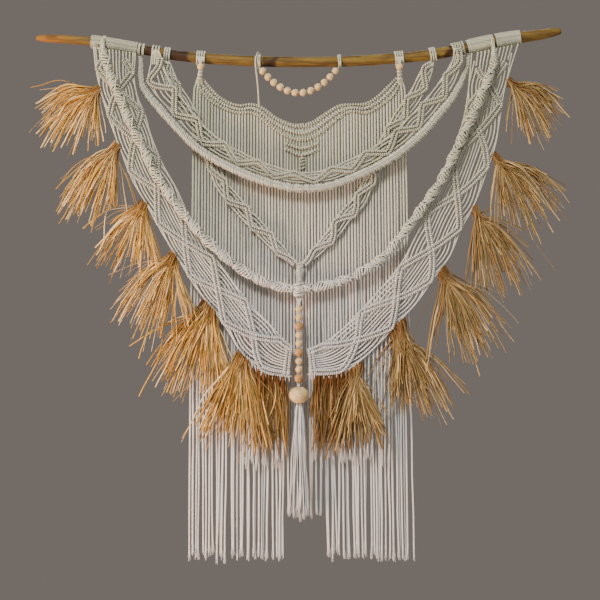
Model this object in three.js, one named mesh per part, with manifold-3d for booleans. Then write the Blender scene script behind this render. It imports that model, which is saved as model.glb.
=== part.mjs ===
// A macrame wall hanging on a wooden branch.
// Millimetres, +Z up, +Y towards the wall that the hanging is seen against.
// The origin is on the axis of the branch, at the middle of its span.
import * as THREE from 'three';
import { mergeVertices } from 'three/addons/utils/BufferGeometryUtils.js';
import Module from 'manifold-3d';

const wasm = await Module();
wasm.setup();

// Driving dimensions
const SEAT = 0.5;
const WELD = 1e-3;
const CORD_RADIUS = 2.3;
const STAND_OFF = 2;
const MIDDLE_X = 1;
const HEAD_THICKNESS = 4;
const BAR = { half: 5, depth: 3.5, ridge: 0.12, pitch: 54, over: 0.3 };
const BAND_DEPTH = -16;
const ROLL_DEPTH = -16;
const CURTAIN_DEPTH = 6;
const CHEVRON_DEPTH = -2;
const STRAND_DEPTH = -18;

// The branch: its axis and its radius, from the left end to the right end.
const BRANCH_ROWS = [
  { x: -524, z: 48, r: 6 },
  { x: -501, z: 47, r: 7.5 },
  { x: -415, z: 41, r: 9 },
  { x: -323, z: 26, r: 9.2 },
  { x: -237, z: 12, r: 10.2 },
  { x: -121, z: 3, r: 10.5 },
  { x: 0, z: 0, r: 10.5 },
  { x: 109, z: 2, r: 10.5 },
  { x: 239, z: 11, r: 10.5 },
  { x: 291, z: 19, r: 11 },
  { x: 393, z: 41, r: 11.3 },
  { x: 479, z: 54, r: 10.5 },
  { x: 524, z: 62, r: 8.5 },
];

const BRANCH = { sides: 8, steps: 26 };
const LOOP = { lift: 0.7, thickness: HEAD_THICKNESS, stepLength: 30, past: 1 };

// The curtain: its scalloped heading, then the hem of its strands.
const CURTAIN = { strands: 57, topLeft: -209, topRight: 213, hemLeft: -221, hemRight: 229, topLevel: -52 };
const HEM = { level: -996, uneven: 9, notchLevel: -911, notchFrom: -22, notchTo: 44 };
const HEADING_ROWS = [
  { x: -198, z: -34, half: 8 },
  { x: -186, z: -54, half: 12 },
  { x: -166, z: -74, half: 11 },
  { x: -141, z: -88, half: 10 },
  { x: -118, z: -94, half: 10 },
  { x: -96, z: -92, half: 11 },
  { x: -78, z: -98, half: 12 },
  { x: -50, z: -120, half: 13 },
  { x: -19, z: -136, half: 16 },
  { x: 7, z: -141, half: 19 },
  { x: 33, z: -133, half: 17 },
  { x: 62, z: -112, half: 15 },
  { x: 86, z: -96, half: 13 },
  { x: 109, z: -91, half: 9 },
  { x: 135, z: -92, half: 12 },
  { x: 160, z: -79, half: 12 },
  { x: 182, z: -60, half: 13 },
  { x: 200, z: -36, half: 8 },
];
const HEADING = { depth: 4, ridge: 0.3, steps: 22 };
const MOTIF = { x: 7, top: -162, drop: 24, reach: 30 };
const MOTIF_BAR = { half: 3.5, depth: 3.5, pitch: 40 };
const CORNERS = [
  { name: 'l', x: -195, spread: -8 },
  { name: 'r', x: 201, spread: 8 },
];
const CORNER = { beadLevel: -11, beadDepth: -11, above: 8, below: 10, collar: 7, neck: 1.9 };
const CORNER_FAN = { level: -36, foot: -66, depth: 1, half: 12, thick: 4 };
const SUPPORT = { x: -86, half: 2.5, top: { y: 2, under: 2.5 }, bend: { y: 4, z: -24 }, level: -94 };

// The beads: outer radius across the bore, half height along it, and the bore.
const LIGHT_BEAD = { radius: 7.3, half: 7.3, bore: 2.7 };
const BROWN_BEAD = { radius: 9.4, half: 9.4, bore: 2.7 };
const BIG_BEAD = { radius: 20, half: 17, bore: 2.7 };
const BEAD_SIDES = 6;

// The bead garland under the branch.
const GARLAND = { beads: 12, reach: 73, rise: 44, level: -63, depth: -8, cord: 1.6, inset: 0.004 };
const GARLAND_LOOP = { left: -79, right: 82, half: 2.5, lead: 10 };

// The wrapped roll, and the knotted swag that lies along its upper side.
const ROLL_ROWS = [
  { x: -318, y: 0, z: 14.5, r: 2.4 },
  { x: -316, y: 0, z: 2, r: 6 },
  { x: -313, y: -1, z: -44, r: 8 },
  { x: -297, y: -7, z: -72, r: 9 },
  { x: -281, y: -12, z: -90, r: 9.5 },
  { x: -243, y: ROLL_DEPTH, z: -132, r: 9.5 },
  { x: -205, y: ROLL_DEPTH, z: -170, r: 9.5 },
  { x: -167, y: ROLL_DEPTH, z: -196, r: 9.5 },
  { x: -121, y: ROLL_DEPTH, z: -219, r: 9.5 },
  { x: -73, y: ROLL_DEPTH, z: -238, r: 9.5 },
  { x: -27, y: ROLL_DEPTH, z: -250, r: 9.5 },
  { x: 7, y: ROLL_DEPTH, z: -254, r: 9.5 },
  { x: 57, y: ROLL_DEPTH, z: -250, r: 9.5 },
  { x: 109, y: ROLL_DEPTH, z: -232, r: 9.5 },
  { x: 159, y: ROLL_DEPTH, z: -209, r: 9.5 },
  { x: 203, y: ROLL_DEPTH, z: -182, r: 9.5 },
  { x: 253, y: ROLL_DEPTH, z: -138, r: 9.5 },
  { x: 277, y: -14, z: -110, r: 9.5 },
  { x: 303, y: -9, z: -78, r: 9 },
  { x: 325, y: -3, z: -40, r: 8 },
  { x: 337, y: 0, z: -8, r: 6 },
  { x: 340, y: 0, z: 16, r: 2.4 },
];
const ROLL = { sides: 7, steps: 28, loopHalf: 2 };
const ROLL_LOOPS = [-318, 340];
const SWAG_ROWS = [
  { at: 0, lean: 33, half: 8, y: -12 },
  { at: 0.06, lean: 35, half: 22, y: -12.5 },
  { at: 0.12, lean: 32, half: 20, y: -13 },
  { at: 0.2, lean: 27.5, half: 16.5, y: -13 },
  { at: 0.5, lean: 21.5, half: 11, y: -13 },
  { at: 0.8, lean: 27, half: 16, y: -13 },
  { at: 0.92, lean: 25, half: 14, y: -13 },
  { at: 1, lean: 22, half: 8, y: -13 },
];
const SWAG = { samples: 44, steps: 24, lanes: [-0.86, 0.86], wave: 77, snake: 0.56, pitch: 44 };
const SWAG_HEAD_INSET = 3;
const SWAG_HEADS = [
  { x: -285, half: 7, y: -14.2, z: 22 },
  { x: 319, half: 11, y: -15.6, z: 26 },
];

// The chevron bands, each from the branch down to the middle.
const CHEVRONS = [
  {
    name: 'chevron_band_l',
    head: -262,
    rows: [
      { x: -262, z: 3, half: 4.5 },
      { x: -260, z: -16, half: 10 },
      { x: -251, z: -44, half: 12 },
      { x: -229, z: -78, half: 12 },
      { x: -207, z: -116, half: 12 },
      { x: -189, z: -160, half: 12 },
      { x: -171, z: -206, half: 12 },
      { x: -153, z: -246, half: 13 },
      { x: -129, z: -277, half: 14 },
      { x: -105, z: -304, half: 14 },
      { x: -71, z: -340, half: 13 },
      { x: -37, z: -376, half: 11 },
      { x: -7, z: -405, half: 5 },
    ],
  },
  {
    name: 'chevron_band_r',
    head: 268,
    rows: [
      { x: 268, z: -0.2, half: 4 },
      { x: 257, z: -18, half: 12 },
      { x: 239, z: -58, half: 14 },
      { x: 213, z: -96, half: 14 },
      { x: 189, z: -134, half: 14 },
      { x: 169, z: -172, half: 13 },
      { x: 157, z: -206, half: 12 },
      { x: 139, z: -244, half: 12 },
      { x: 117, z: -284, half: 14 },
      { x: 89, z: -314, half: 14 },
      { x: 67, z: -346, half: 13 },
      { x: 37, z: -378, half: 10 },
      { x: 11, z: -404, half: 5 },
    ],
  },
];
const CHEVRON = { steps: 14, samples: 44, wave: 72, headHalf: 5.5, edge: 0.85, snake: 0.62 };
const CHEVRON_BAR = { half: 3.5, depth: 2.8, pitch: 30 };
const SINNET = { sides: 6, steps: 8, flat: 0.5 };
const SINNET_ROWS = [
  { x: 2, y: -3, z: -402.4, r: 7 },
  { x: 3, y: -5, z: -424, r: 9 },
  { x: 2, y: -11, z: -436, r: 5 },
  { x: 1, y: -15, z: -444.9, r: 8 },
];

// The spiral swag: a flat sinnet that turns half round at every pitch.
const SPIRAL_ROWS = [
  { x: -389, y: -16, z: 42, wide: 2.4 },
  { x: -388, y: -24.5, z: 22, wide: 4 },
  { x: -383, y: -31, z: 2, wide: 8 },
  { x: -371, y: -31, z: -36, wide: 9.5 },
  { x: -355, y: -31, z: -72, wide: 9.5 },
  { x: -341, y: -31, z: -108, wide: 9.5 },
  { x: -323, y: -31, z: -146, wide: 9.5 },
  { x: -305, y: -31, z: -182, wide: 9.5 },
  { x: -289, y: -31, z: -216, wide: 9.5 },
  { x: -267, y: -31, z: -252, wide: 9.5 },
  { x: -243, y: -31, z: -286, wide: 9.5 },
  { x: -217, y: -31, z: -318, wide: 9.5 },
  { x: -187, y: -30, z: -352, wide: 9.5 },
  { x: -155, y: -27, z: -383, wide: 9.5 },
  { x: -122, y: -21, z: -409, wide: 9.5 },
  { x: -88, y: -17, z: -431, wide: 9.5 },
  { x: -45, y: -16, z: -448, wide: 9.5 },
  { x: 1, y: -16, z: -454, wide: 9.5 },
  { x: 47, y: -16, z: -448, wide: 9.5 },
  { x: 95, y: -16, z: -435, wide: 9.5 },
  { x: 135, y: -17, z: -414, wide: 9.5 },
  { x: 171, y: -20, z: -388, wide: 9.5 },
  { x: 205, y: -25, z: -348, wide: 9.5 },
  { x: 237, y: -30, z: -305, wide: 9.5 },
  { x: 262, y: -31, z: -270, wide: 9.5 },
  { x: 291, y: -31, z: -224, wide: 9.5 },
  { x: 309, y: -31, z: -186, wide: 9.5 },
  { x: 327, y: -31, z: -148, wide: 9.5 },
  { x: 345, y: -31, z: -110, wide: 9.5 },
  { x: 363, y: -31, z: -70, wide: 9.5 },
  { x: 379, y: -31, z: -30, wide: 9.5 },
  { x: 388, y: -30, z: 2, wide: 7 },
  { x: 387, y: -24, z: 22, wide: 3.5 },
  { x: 386.5, y: -13.8, z: 41, wide: 2.2 },
];
const SPIRAL = { pitch: 42, stepsPerTurn: 3, thin: 0.62, loopHalf: 2.5 };
const SPIRAL_HEADS = [
  { x: -389, lift: 2 * LOOP.lift + HEAD_THICKNESS },
  { x: 386.5, lift: LOOP.lift },
];

// The outer bands: outer edge, inner edge, depth and the count of diamonds.
const LEFT_BAND_ROWS = [
  { ox: -410, oz: 44, ix: -325, iz: 30, y: -14.2, n: 0 },
  { ox: -409, oz: 24, ix: -323, iz: 12, y: -14.6, n: 0.12 },
  { ox: -403, oz: -24, ix: -325, iz: -32, y: BAND_DEPTH, n: 0.6 },
  { ox: -391, oz: -74, ix: -319, iz: -70, y: BAND_DEPTH, n: 1.15 },
  { ox: -377, oz: -120, ix: -303, iz: -108, y: BAND_DEPTH, n: 1.6 },
  { ox: -359, oz: -168, ix: -293, iz: -144, y: BAND_DEPTH, n: 2 },
  { ox: -333, oz: -236, ix: -269, iz: -204, y: BAND_DEPTH, n: 2.65 },
  { ox: -303, oz: -288, ix: -241, iz: -254, y: BAND_DEPTH, n: 3.15 },
  { ox: -271, oz: -346, ix: -215, iz: -312, y: BAND_DEPTH, n: 3.7 },
  { ox: -239, oz: -398, ix: -187, iz: -364, y: BAND_DEPTH, n: 4.2 },
  { ox: -207, oz: -450, ix: -155, iz: -404, y: BAND_DEPTH, n: 4.7 },
  { ox: -171, oz: -496, ix: -121, iz: -450, y: BAND_DEPTH, n: 5.2 },
  { ox: -139, oz: -542, ix: -87, iz: -492, y: BAND_DEPTH, n: 5.7 },
  { ox: -111, oz: -586, ix: -53, iz: -526, y: BAND_DEPTH, n: 6.1 },
  { ox: -69, oz: -620, ix: -31, iz: -552, y: BAND_DEPTH, n: 6.55 },
  { ox: -14, oz: -630, ix: -15, iz: -566, y: BAND_DEPTH, n: 7 },
];
const RIGHT_BAND_ROWS = [
  { ox: 440, oz: 52, ix: 346, iz: 33, y: -16.3, n: 0.42 },
  { ox: 439, oz: 36, ix: 343, iz: 16, y: -16.3, n: 0.5 },
  { ox: 425, oz: -10, ix: 339, iz: -26, y: BAND_DEPTH, n: 0.72 },
  { ox: 411, oz: -60, ix: 335, iz: -68, y: BAND_DEPTH, n: 1.2 },
  { ox: 403, oz: -110, ix: 327, iz: -114, y: BAND_DEPTH, n: 1.73 },
  { ox: 393, oz: -170, ix: 313, iz: -158, y: BAND_DEPTH, n: 2.2 },
  { ox: 373, oz: -230, ix: 297, iz: -204, y: BAND_DEPTH, n: 2.62 },
  { ox: 351, oz: -288, ix: 277, iz: -250, y: BAND_DEPTH, n: 3.02 },
  { ox: 325, oz: -336, ix: 251, iz: -302, y: BAND_DEPTH, n: 3.5 },
  { ox: 303, oz: -388, ix: 225, iz: -362, y: BAND_DEPTH, n: 4 },
  { ox: 269, oz: -436, ix: 199, iz: -408, y: BAND_DEPTH, n: 4.47 },
  { ox: 235, oz: -484, ix: 163, iz: -452, y: BAND_DEPTH, n: 4.94 },
  { ox: 197, oz: -524, ix: 127, iz: -490, y: BAND_DEPTH, n: 5.4 },
  { ox: 155, oz: -570, ix: 89, iz: -530, y: BAND_DEPTH, n: 5.93 },
  { ox: 93, oz: -618, ix: 49, iz: -560, y: BAND_DEPTH, n: 6.45 },
  { ox: 18, oz: -626, ix: 19, iz: -574, y: BAND_DEPTH, n: 7 },
];
const OUTER_BANDS = [
  {
    name: 'l',
    rows: LEFT_BAND_ROWS,
    heads: [{ from: -413, to: -323 }],
    rowFrom: -86,
    fringeFrom: -112,
    rowTo: -26,
    seed: 100,
  },
  {
    name: 'r',
    rows: RIGHT_BAND_ROWS,
    heads: [{ from: 343, to: 382 }, { from: 395, to: 442 }],
    rowFrom: 104,
    fringeFrom: 186,
    rowTo: 30,
    seed: 200,
  },
];
const EDGE_INSET = 2;
const STRAND_REACH = CORD_RADIUS * Math.sin(Math.PI / 3);
const BAND = { lanes: [-1, 0, 1], steps: 16, samples: 60 };

// The raffia tufts: the level of the root on the band's outer edge, the fan of
// the locks in degrees from +X, and the reach of the longest lock.
const TUFTS = [
  { name: 'l1', level: -54, from: 178, to: 268, reach: 122 },
  { name: 'l2', level: -166, from: 210, to: 265, reach: 140 },
  { name: 'l3', level: -280, from: 222, to: 278, reach: 128 },
  { name: 'l4', level: -384, from: 213, to: 282, reach: 150 },
  { name: 'l5', level: -488, from: 221, to: 281, reach: 172 },
  { name: 'l6', level: -588, from: 229, to: 284, reach: 172 },
  { name: 'r1', level: -38, from: 4, to: -79, reach: 130 },
  { name: 'r2', level: -186, from: -17, to: -87, reach: 148 },
  { name: 'r3', level: -290, from: -36, to: -87, reach: 164 },
  { name: 'r4', level: -414, from: -27, to: -84, reach: 180 },
  { name: 'r5', level: -522, from: -40, to: -97, reach: 128 },
  { name: 'r6', level: -606, from: -64, to: -104, reach: 126 },
];
const TUFT = { locks: 7, apart: 1, stagger: 1.3, sunk: 0.15, uneven: 0.14, sway: 1.5, near: -16, far: -24 };
const TUFT_HEAD = { radius: 4, length: 14 };
const LOCK = { root: 1.1, body: 2, tip: 1.3, rise: 4 };
const RAFFIA_WIDTH = 1.9;
const RAFFIA_ROW = { locks: 8, level: -756, uneven: 14, half: 3, radius: 1.9, wide: RAFFIA_WIDTH, clear: 26 };
const HANGING_DRIFT = 3;
const STRIP = { samples: 12, steps: 4 };

// The cotton fringe behind the raffia, and the tassel under the big bead.
const FRINGE = { locks: 8, level: -806, uneven: 14, radius: 2, wide: 1, clear: 28 };
const FRINGE_STRIP = { depth: -9.9, half: 1.5, wide: 3, lane: -0.74, seed: 50 };
const TASSEL = { locks: 8, level: -908, uneven: 8, spread: 20, radius: 2, row: 3, seed: 500 };
const TASSEL_HEAD = { radius: 7, length: 10, rootReach: 4, rootRow: 1.8, rootSunk: 2 };
const STRAND_CORDS = { top: -463.2, topDepth: -16, bendDepth: -17, level: -479, wide: 7.5, thin: 2 };
const STRAND_END = 0.5;
const STRAND_NECK = { above: 3, below: 5, wide: 3 };
const STRAND_BEADS = { count: 9, brownEvery: 3, from: -494, gap: 1.3 };
const BIG_BEAD_LEVEL = -665;

const FRAME_STEP = 1e-3;
const HALVINGS = 40;
const WAVE = { rate: 12.9898, phase: 4.137, scale: 43758.5453 };
const UP = new THREE.Vector3(0, 0, 1);
const TO_VIEWER = new THREE.Vector3(0, -1, 0);

// Eases every column of a table between the rows on either side of a value.
function eased(rows, key, value) {
  const last = rows.length - 1;
  const next = Math.min(Math.max(rows.findIndex((row) => row[key] > value), 1), last);
  const past = value >= rows[last][key] ? last : next;
  const [a, b] = [rows[past - 1], rows[past]];
  const share = THREE.MathUtils.clamp((value - a[key]) / (b[key] - a[key]), 0, 1);
  const row = {};
  for (const column of Object.keys(a)) {
    row[column] = THREE.MathUtils.lerp(a[column], b[column], share);
  }
  return row;
}

// A repeatable unevenness between -1 and 1.
function uneven(number) {
  const wave = Math.sin(number * WAVE.rate + WAVE.phase) * WAVE.scale;
  return 2 * (wave - Math.floor(wave)) - 1;
}

// A route through a table of stations. Each column runs smoothly through its
// rows, measured by the distance along the route.
class Route {
  constructor(rows) {
    this.rows = rows.map((row) => ({ y: 0, ...row }));
    this.marks = [0];
    for (let i = 1; i < rows.length; i++) {
      const [a, b] = [this.rows[i - 1], this.rows[i]];
      this.marks.push(this.marks[i - 1] + Math.hypot(b.x - a.x, b.y - a.y, b.z - a.z));
    }
    this.length = this.marks[rows.length - 1];
  }

  slope(i, column) {
    const a = Math.max(i - 1, 0);
    const b = Math.min(i + 1, this.rows.length - 1);
    return (this.rows[b][column] - this.rows[a][column]) / (this.marks[b] - this.marks[a]);
  }

  at(share) {
    const mark = share * this.length;
    const last = this.rows.length - 2;
    let i = 0;
    while (i < last && this.marks[i + 1] < mark) i += 1;
    const span = this.marks[i + 1] - this.marks[i];
    const t = (mark - this.marks[i]) / span;
    const row = {};
    for (const column of Object.keys(this.rows[i])) {
      const a = this.rows[i][column];
      const b = this.rows[i + 1][column];
      const leave = this.slope(i, column) * span;
      const arrive = this.slope(i + 1, column) * span;
      const turn = t * t * (3 - 2 * t);
      row[column] = a + (b - a) * turn + leave * t * (1 - t) ** 2 - arrive * t * t * (1 - t);
    }
    return row;
  }

  point(share) {
    const { x, y, z } = this.at(share);
    return new THREE.Vector3(x, y, z);
  }

  // Forward along the route, towards the viewer, and across to the traveller's right.
  frame(share) {
    const behind = this.point(Math.max(share - FRAME_STEP, 0));
    const forward = this.point(Math.min(share + FRAME_STEP, 1)).sub(behind).normalize();
    const front = TO_VIEWER.clone().addScaledVector(forward, -TO_VIEWER.dot(forward)).normalize();
    return { forward, front, across: forward.clone().cross(front) };
  }

  // The share of the route where a column that only rises or only falls has a value.
  find(column, value) {
    let [low, high] = [0, 1];
    const rising = this.at(1)[column] > this.at(0)[column];
    for (let i = 0; i < HALVINGS; i++) {
      const middle = (low + high) / 2;
      if (this.at(middle)[column] > value === rising) high = middle;
      else low = middle;
    }
    return low;
  }

  // A new route beside this one: place(row, share, frame) gives its stations.
  beside(samples, place) {
    const rows = [];
    for (let i = 0; i <= samples; i++) {
      const share = i / samples;
      rows.push(place(this.at(share), share, this.frame(share)));
    }
    return new Route(rows);
  }
}

// A closed tube along a route. outline(row, share, angle) gives the reach of its
// skin towards the viewer and across, for an angle round the route.
function sweep(route, { sides, steps, from = 0, to = 1, turn = -Math.PI / 2, outline }) {
  const tube = new THREE.CylinderGeometry(1, 1, 1, sides, steps, true);
  const places = tube.attributes.position;
  const lastRing = steps * (sides + 1);
  const faces = Array.from(tube.index.array);
  for (let i = 1; i < sides - 1; i++) {
    faces.push(0, i, i + 1, lastRing, lastRing + i + 1, lastRing + i);
  }
  tube.setIndex(faces);
  for (let i = 0; i < places.count; i++) {
    const rim = Math.hypot(places.getX(i), places.getZ(i));
    const angle = Math.atan2(places.getZ(i), places.getX(i)) + turn;
    const share = from + (to - from) * (0.5 - places.getY(i));
    const { front, across } = route.frame(share);
    const reach = outline(route.at(share), share, angle);
    const place = route.point(share);
    place.addScaledVector(front, rim * reach.front);
    place.addScaledVector(across, rim * reach.across);
    places.setXYZ(i, place.x, place.y, place.z);
  }
  return tube;
}

function oval(front, across, angle) {
  return { front: front * Math.cos(angle), across: across * Math.sin(angle) };
}

function round(radius) {
  return (row, share, angle) => oval(radius, radius, angle);
}

// A plain three-sided strand of cord.
function strand(route, steps) {
  return sweep(route, { sides: 3, steps, outline: round(CORD_RADIUS) });
}

// A bar of knots: a flat tube that swells at every second ring.
function bar(route, { half, depth, pitch } = BAR) {
  const steps = 2 * Math.round(route.length / pitch);
  const outline = (row, share, angle) => {
    const swell = 1 + BAR.ridge * Math.cos(Math.PI * share * steps);
    return oval(depth * Math.SQRT2 * swell, half * Math.SQRT2 * swell, angle);
  };
  return sweep(route, { sides: 4, steps, turn: -Math.PI / 4, outline });
}

function solid(geometry) {
  geometry.deleteAttribute('normal');
  geometry.deleteAttribute('uv');
  const { attributes, index } = mergeVertices(geometry, WELD);
  const mesh = new wasm.Mesh({
    numProp: 3,
    vertProperties: new Float32Array(attributes.position.array),
    triVerts: new Uint32Array(index.array),
  });
  return new wasm.Manifold(mesh);
}

function fuse(geometries) {
  return geometries.map(solid).reduce((whole, one) => whole.add(one));
}

function skin(shape) {
  const { vertProperties, triVerts } = shape.getMesh();
  const geometry = new THREE.BufferGeometry();
  geometry.setAttribute('position', new THREE.BufferAttribute(vertProperties, 3));
  geometry.setIndex(new THREE.BufferAttribute(triVerts, 1));
  geometry.computeVertexNormals();
  return geometry;
}

// Finishes
const FINISHES = {
  wood: { color: 0xa87b3f, roughness: 0.7, metalness: 0 },
  cotton: { color: 0xd9d3c2, roughness: 0.95, metalness: 0 },
  raffia: { color: 0xcf9a56, roughness: 0.85, metalness: 0 },
  lightBead: { color: 0xe2bf8e, roughness: 0.55, metalness: 0 },
  brownBead: { color: 0xb27742, roughness: 0.5, metalness: 0 },
};

const hanging = new THREE.Group();

function piece(name, shape, finish) {
  const geometry = shape.isBufferGeometry ? shape : skin(shape);
  const mesh = new THREE.Mesh(geometry, new THREE.MeshStandardMaterial(FINISHES[finish]));
  mesh.name = name;
  hanging.add(mesh);
  return mesh;
}

// The branch, and the cords that are looped round it
const branch = new Route(BRANCH_ROWS);

function branchTube(from, to, steps, lift) {
  return sweep(branch, {
    sides: BRANCH.sides,
    steps,
    from: branch.find('x', from),
    to: branch.find('x', to),
    outline: (row, share, angle) => oval(row.r + lift, row.r + lift, angle),
  });
}

// Cords looped side by side round the branch.
function collar(from, to, lift = LOOP.lift) {
  const { thickness, stepLength, past } = LOOP;
  const steps = Math.max(1, Math.round((to - from) / stepLength));
  const outside = solid(branchTube(from, to, steps, lift + thickness));
  return outside.subtract(solid(branchTube(from - past, to + past, steps, lift)));
}

function makeBranch() {
  const outline = (row, share, angle) => oval(row.r, row.r, angle);
  piece('branch', sweep(branch, { ...BRANCH, outline }), 'wood');
}

// Beads
function beadShape({ radius, half, bore }) {
  const mouth = half * Math.sqrt(1 - (bore / radius) ** 2);
  const profile = [new THREE.Vector2(bore, -mouth)];
  for (const turn of [-45, 0, 45]) {
    const angle = THREE.MathUtils.degToRad(turn);
    profile.push(new THREE.Vector2(radius * Math.cos(angle), half * Math.sin(angle)));
  }
  profile.push(new THREE.Vector2(bore, mouth), profile[0].clone());
  return new THREE.LatheGeometry(profile, BEAD_SIDES);
}

function bead(name, size, finish, place, axis = UP) {
  const mesh = piece(name, beadShape(size), finish);
  mesh.position.copy(place);
  mesh.quaternion.setFromUnitVectors(new THREE.Vector3(0, 1, 0), axis);
}

// The curtain: corner loops and necks, support cord, heading, motif and strands
function cornerNeck({ x, spread }) {
  const { beadLevel, beadDepth, above, below, neck } = CORNER;
  const { level, foot, depth, half, thick } = CORNER_FAN;
  const top = branch.at(branch.find('x', x));
  const route = new Route([
    { x, y: -top.r - STAND_OFF, z: top.z, wide: neck, deep: neck },
    { x, y: beadDepth, z: beadLevel + above, wide: neck, deep: neck },
    { x, y: beadDepth, z: beadLevel, wide: neck, deep: neck },
    { x, y: beadDepth, z: beadLevel - below, wide: neck, deep: neck },
    { x: x + spread / 2, y: depth, z: level, wide: half / 2, deep: thick },
    { x: x + spread, y: CURTAIN_DEPTH, z: foot, wide: half, deep: thick },
  ]);
  const outline = (row, share, angle) => oval(row.deep, row.wide, angle);
  return solid(sweep(route, { sides: 5, steps: 8, outline }));
}

function headingBar() {
  const route = new Route(HEADING_ROWS.map((row) => ({ ...row, y: CURTAIN_DEPTH })));
  const outline = (row, share, angle) => {
    const crest = 1 + HEADING.ridge * Math.abs(Math.sin(angle));
    return oval(HEADING.depth * crest, row.half, angle);
  };
  return sweep(route, { sides: 6, steps: HEADING.steps, outline });
}

function motifBars() {
  const { x, top, drop, reach } = MOTIF;
  return [-1, 1].map((side) => {
    const rows = [
      { x: x + side * reach, y: CURTAIN_DEPTH, z: top + drop },
      { x, y: CURTAIN_DEPTH, z: top },
    ];
    return bar(new Route(rows), MOTIF_BAR);
  });
}

function curtainStrands() {
  const { strands, topLeft, topRight, hemLeft, hemRight, topLevel } = CURTAIN;
  return Array.from({ length: strands }, (_, i) => {
    const share = i / (strands - 1);
    const top = THREE.MathUtils.lerp(topLeft, topRight, share);
    const hem = THREE.MathUtils.lerp(hemLeft, hemRight, share);
    const notched = hem > HEM.notchFrom && hem < HEM.notchTo;
    const level = (notched ? HEM.notchLevel : HEM.level) + HEM.uneven * uneven(i);
    const start = Math.min(eased(HEADING_ROWS, 'x', top).z, topLevel);
    const rows = [
      { x: top, y: CURTAIN_DEPTH, z: start },
      { x: hem, y: CURTAIN_DEPTH, z: level },
    ];
    return strand(new Route(rows), 1);
  });
}

function makeCurtain() {
  const { x: supportX, top, bend, level } = SUPPORT;
  const over = branch.at(branch.find('x', supportX));
  const supportRows = [
    { x: supportX, y: top.y, z: over.z - over.r - top.under },
    { x: supportX, y: bend.y, z: bend.z },
    { x: supportX, y: CURTAIN_DEPTH, z: level },
  ];
  const cloth = [headingBar(), ...motifBars(), ...curtainStrands(), strand(new Route(supportRows), 3)];
  let shape = fuse(cloth).add(collar(supportX - SUPPORT.half, supportX + SUPPORT.half));
  for (const corner of CORNERS) {
    const loops = collar(corner.x - CORNER.collar, corner.x + CORNER.collar);
    shape = shape.add(loops).add(cornerNeck(corner));
    const place = new THREE.Vector3(corner.x, CORNER.beadDepth, CORNER.beadLevel);
    bead(`corner_bead_${corner.name}`, LIGHT_BEAD, 'lightBead', place);
  }
  piece('curtain', shape, 'cotton');
}

// The garland
function garlandArc() {
  const { reach, rise, level, depth } = GARLAND;
  const samples = 24;
  return Array.from({ length: samples + 1 }, (_, i) => {
    const along = (2 * i) / samples - 1;
    return { x: MIDDLE_X + reach * along, y: depth, z: level + rise * along * along };
  });
}

function makeGarland() {
  const arc = new Route(garlandArc());
  const { left, right, half, lead } = GARLAND_LOOP;
  const ends = [[left, 0, -lead], [right, 1, lead]].map(([x, share, step]) => {
    const { z, r } = branch.at(branch.find('x', x));
    const reach = arc.point(share).addScaledVector(arc.frame(share).forward, step);
    return [{ x, y: -r - STAND_OFF, z: z - STAND_OFF }, { x: reach.x, y: reach.y, z: reach.z }];
  });
  const route = new Route([...ends[0], ...garlandArc(), ...ends[1].reverse()]);
  let shape = solid(sweep(route, { sides: 4, steps: 30, outline: round(GARLAND.cord) }));
  for (const x of [left, right]) shape = shape.add(collar(x - half, x + half));
  piece('garland_cord', shape, 'cotton');
  for (let i = 0; i < GARLAND.beads; i++) {
    const share = i / (GARLAND.beads - 1);
    const name = `garland_bead_${String(i + 1).padStart(2, '0')}`;
    const at = GARLAND.inset + (1 - 2 * GARLAND.inset) * share;
    bead(name, LIGHT_BEAD, 'lightBead', arc.point(at), arc.frame(at).forward);
  }
}

// The wrapped roll and the knotted swag on its upper side
const roll = new Route(ROLL_ROWS);

function makeRoll() {
  const outline = (row, share, angle) => oval(row.r, row.r, angle);
  const { sides, steps, loopHalf } = ROLL;
  let shape = solid(sweep(roll, { sides, steps, outline }));
  for (const x of ROLL_LOOPS) shape = shape.add(collar(x - loopHalf, x + loopHalf));
  piece('wrapped_roll', shape, 'cotton');
}

function swagRoute(lane) {
  const [left, right] = SWAG_HEADS;
  const route = roll.beside(SWAG.samples, (row, share, frame) => {
    const { lean, half, y } = eased(SWAG_ROWS, 'at', share);
    const side = lean + half * lane(share);
    return { x: row.x - frame.across.x * side, y, z: row.z - frame.across.z * side };
  });
  const edge = ({ x, half, y, z }, at) => ({ x: x + (half - SWAG_HEAD_INSET) * lane(at), y, z });
  return new Route([edge(left, 0), ...route.rows.slice(1, -1), edge(right, 1)]);
}

function makeSwag() {
  const lanes = SWAG.lanes.map((lane) => strand(swagRoute(() => lane), SWAG.steps));
  const turns = roll.length / SWAG.wave;
  const snake = swagRoute((share) => SWAG.snake * Math.sin(2 * Math.PI * turns * share));
  let shape = fuse([...lanes, bar(snake, { ...BAR, pitch: SWAG.pitch })]);
  for (const { x, half } of SWAG_HEADS) shape = shape.add(collar(x - half, x + half));
  piece('upper_swag', shape, 'cotton');
}

// The chevron bands and the sinnet where they meet
function chevronRoute(rows, lane) {
  const middle = new Route(rows);
  return middle.beside(CHEVRON.samples, (row, share, { across }) => {
    const side = row.half * lane(share);
    return { x: row.x + across.x * side, y: CHEVRON_DEPTH, z: row.z + across.z * side };
  });
}

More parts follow.
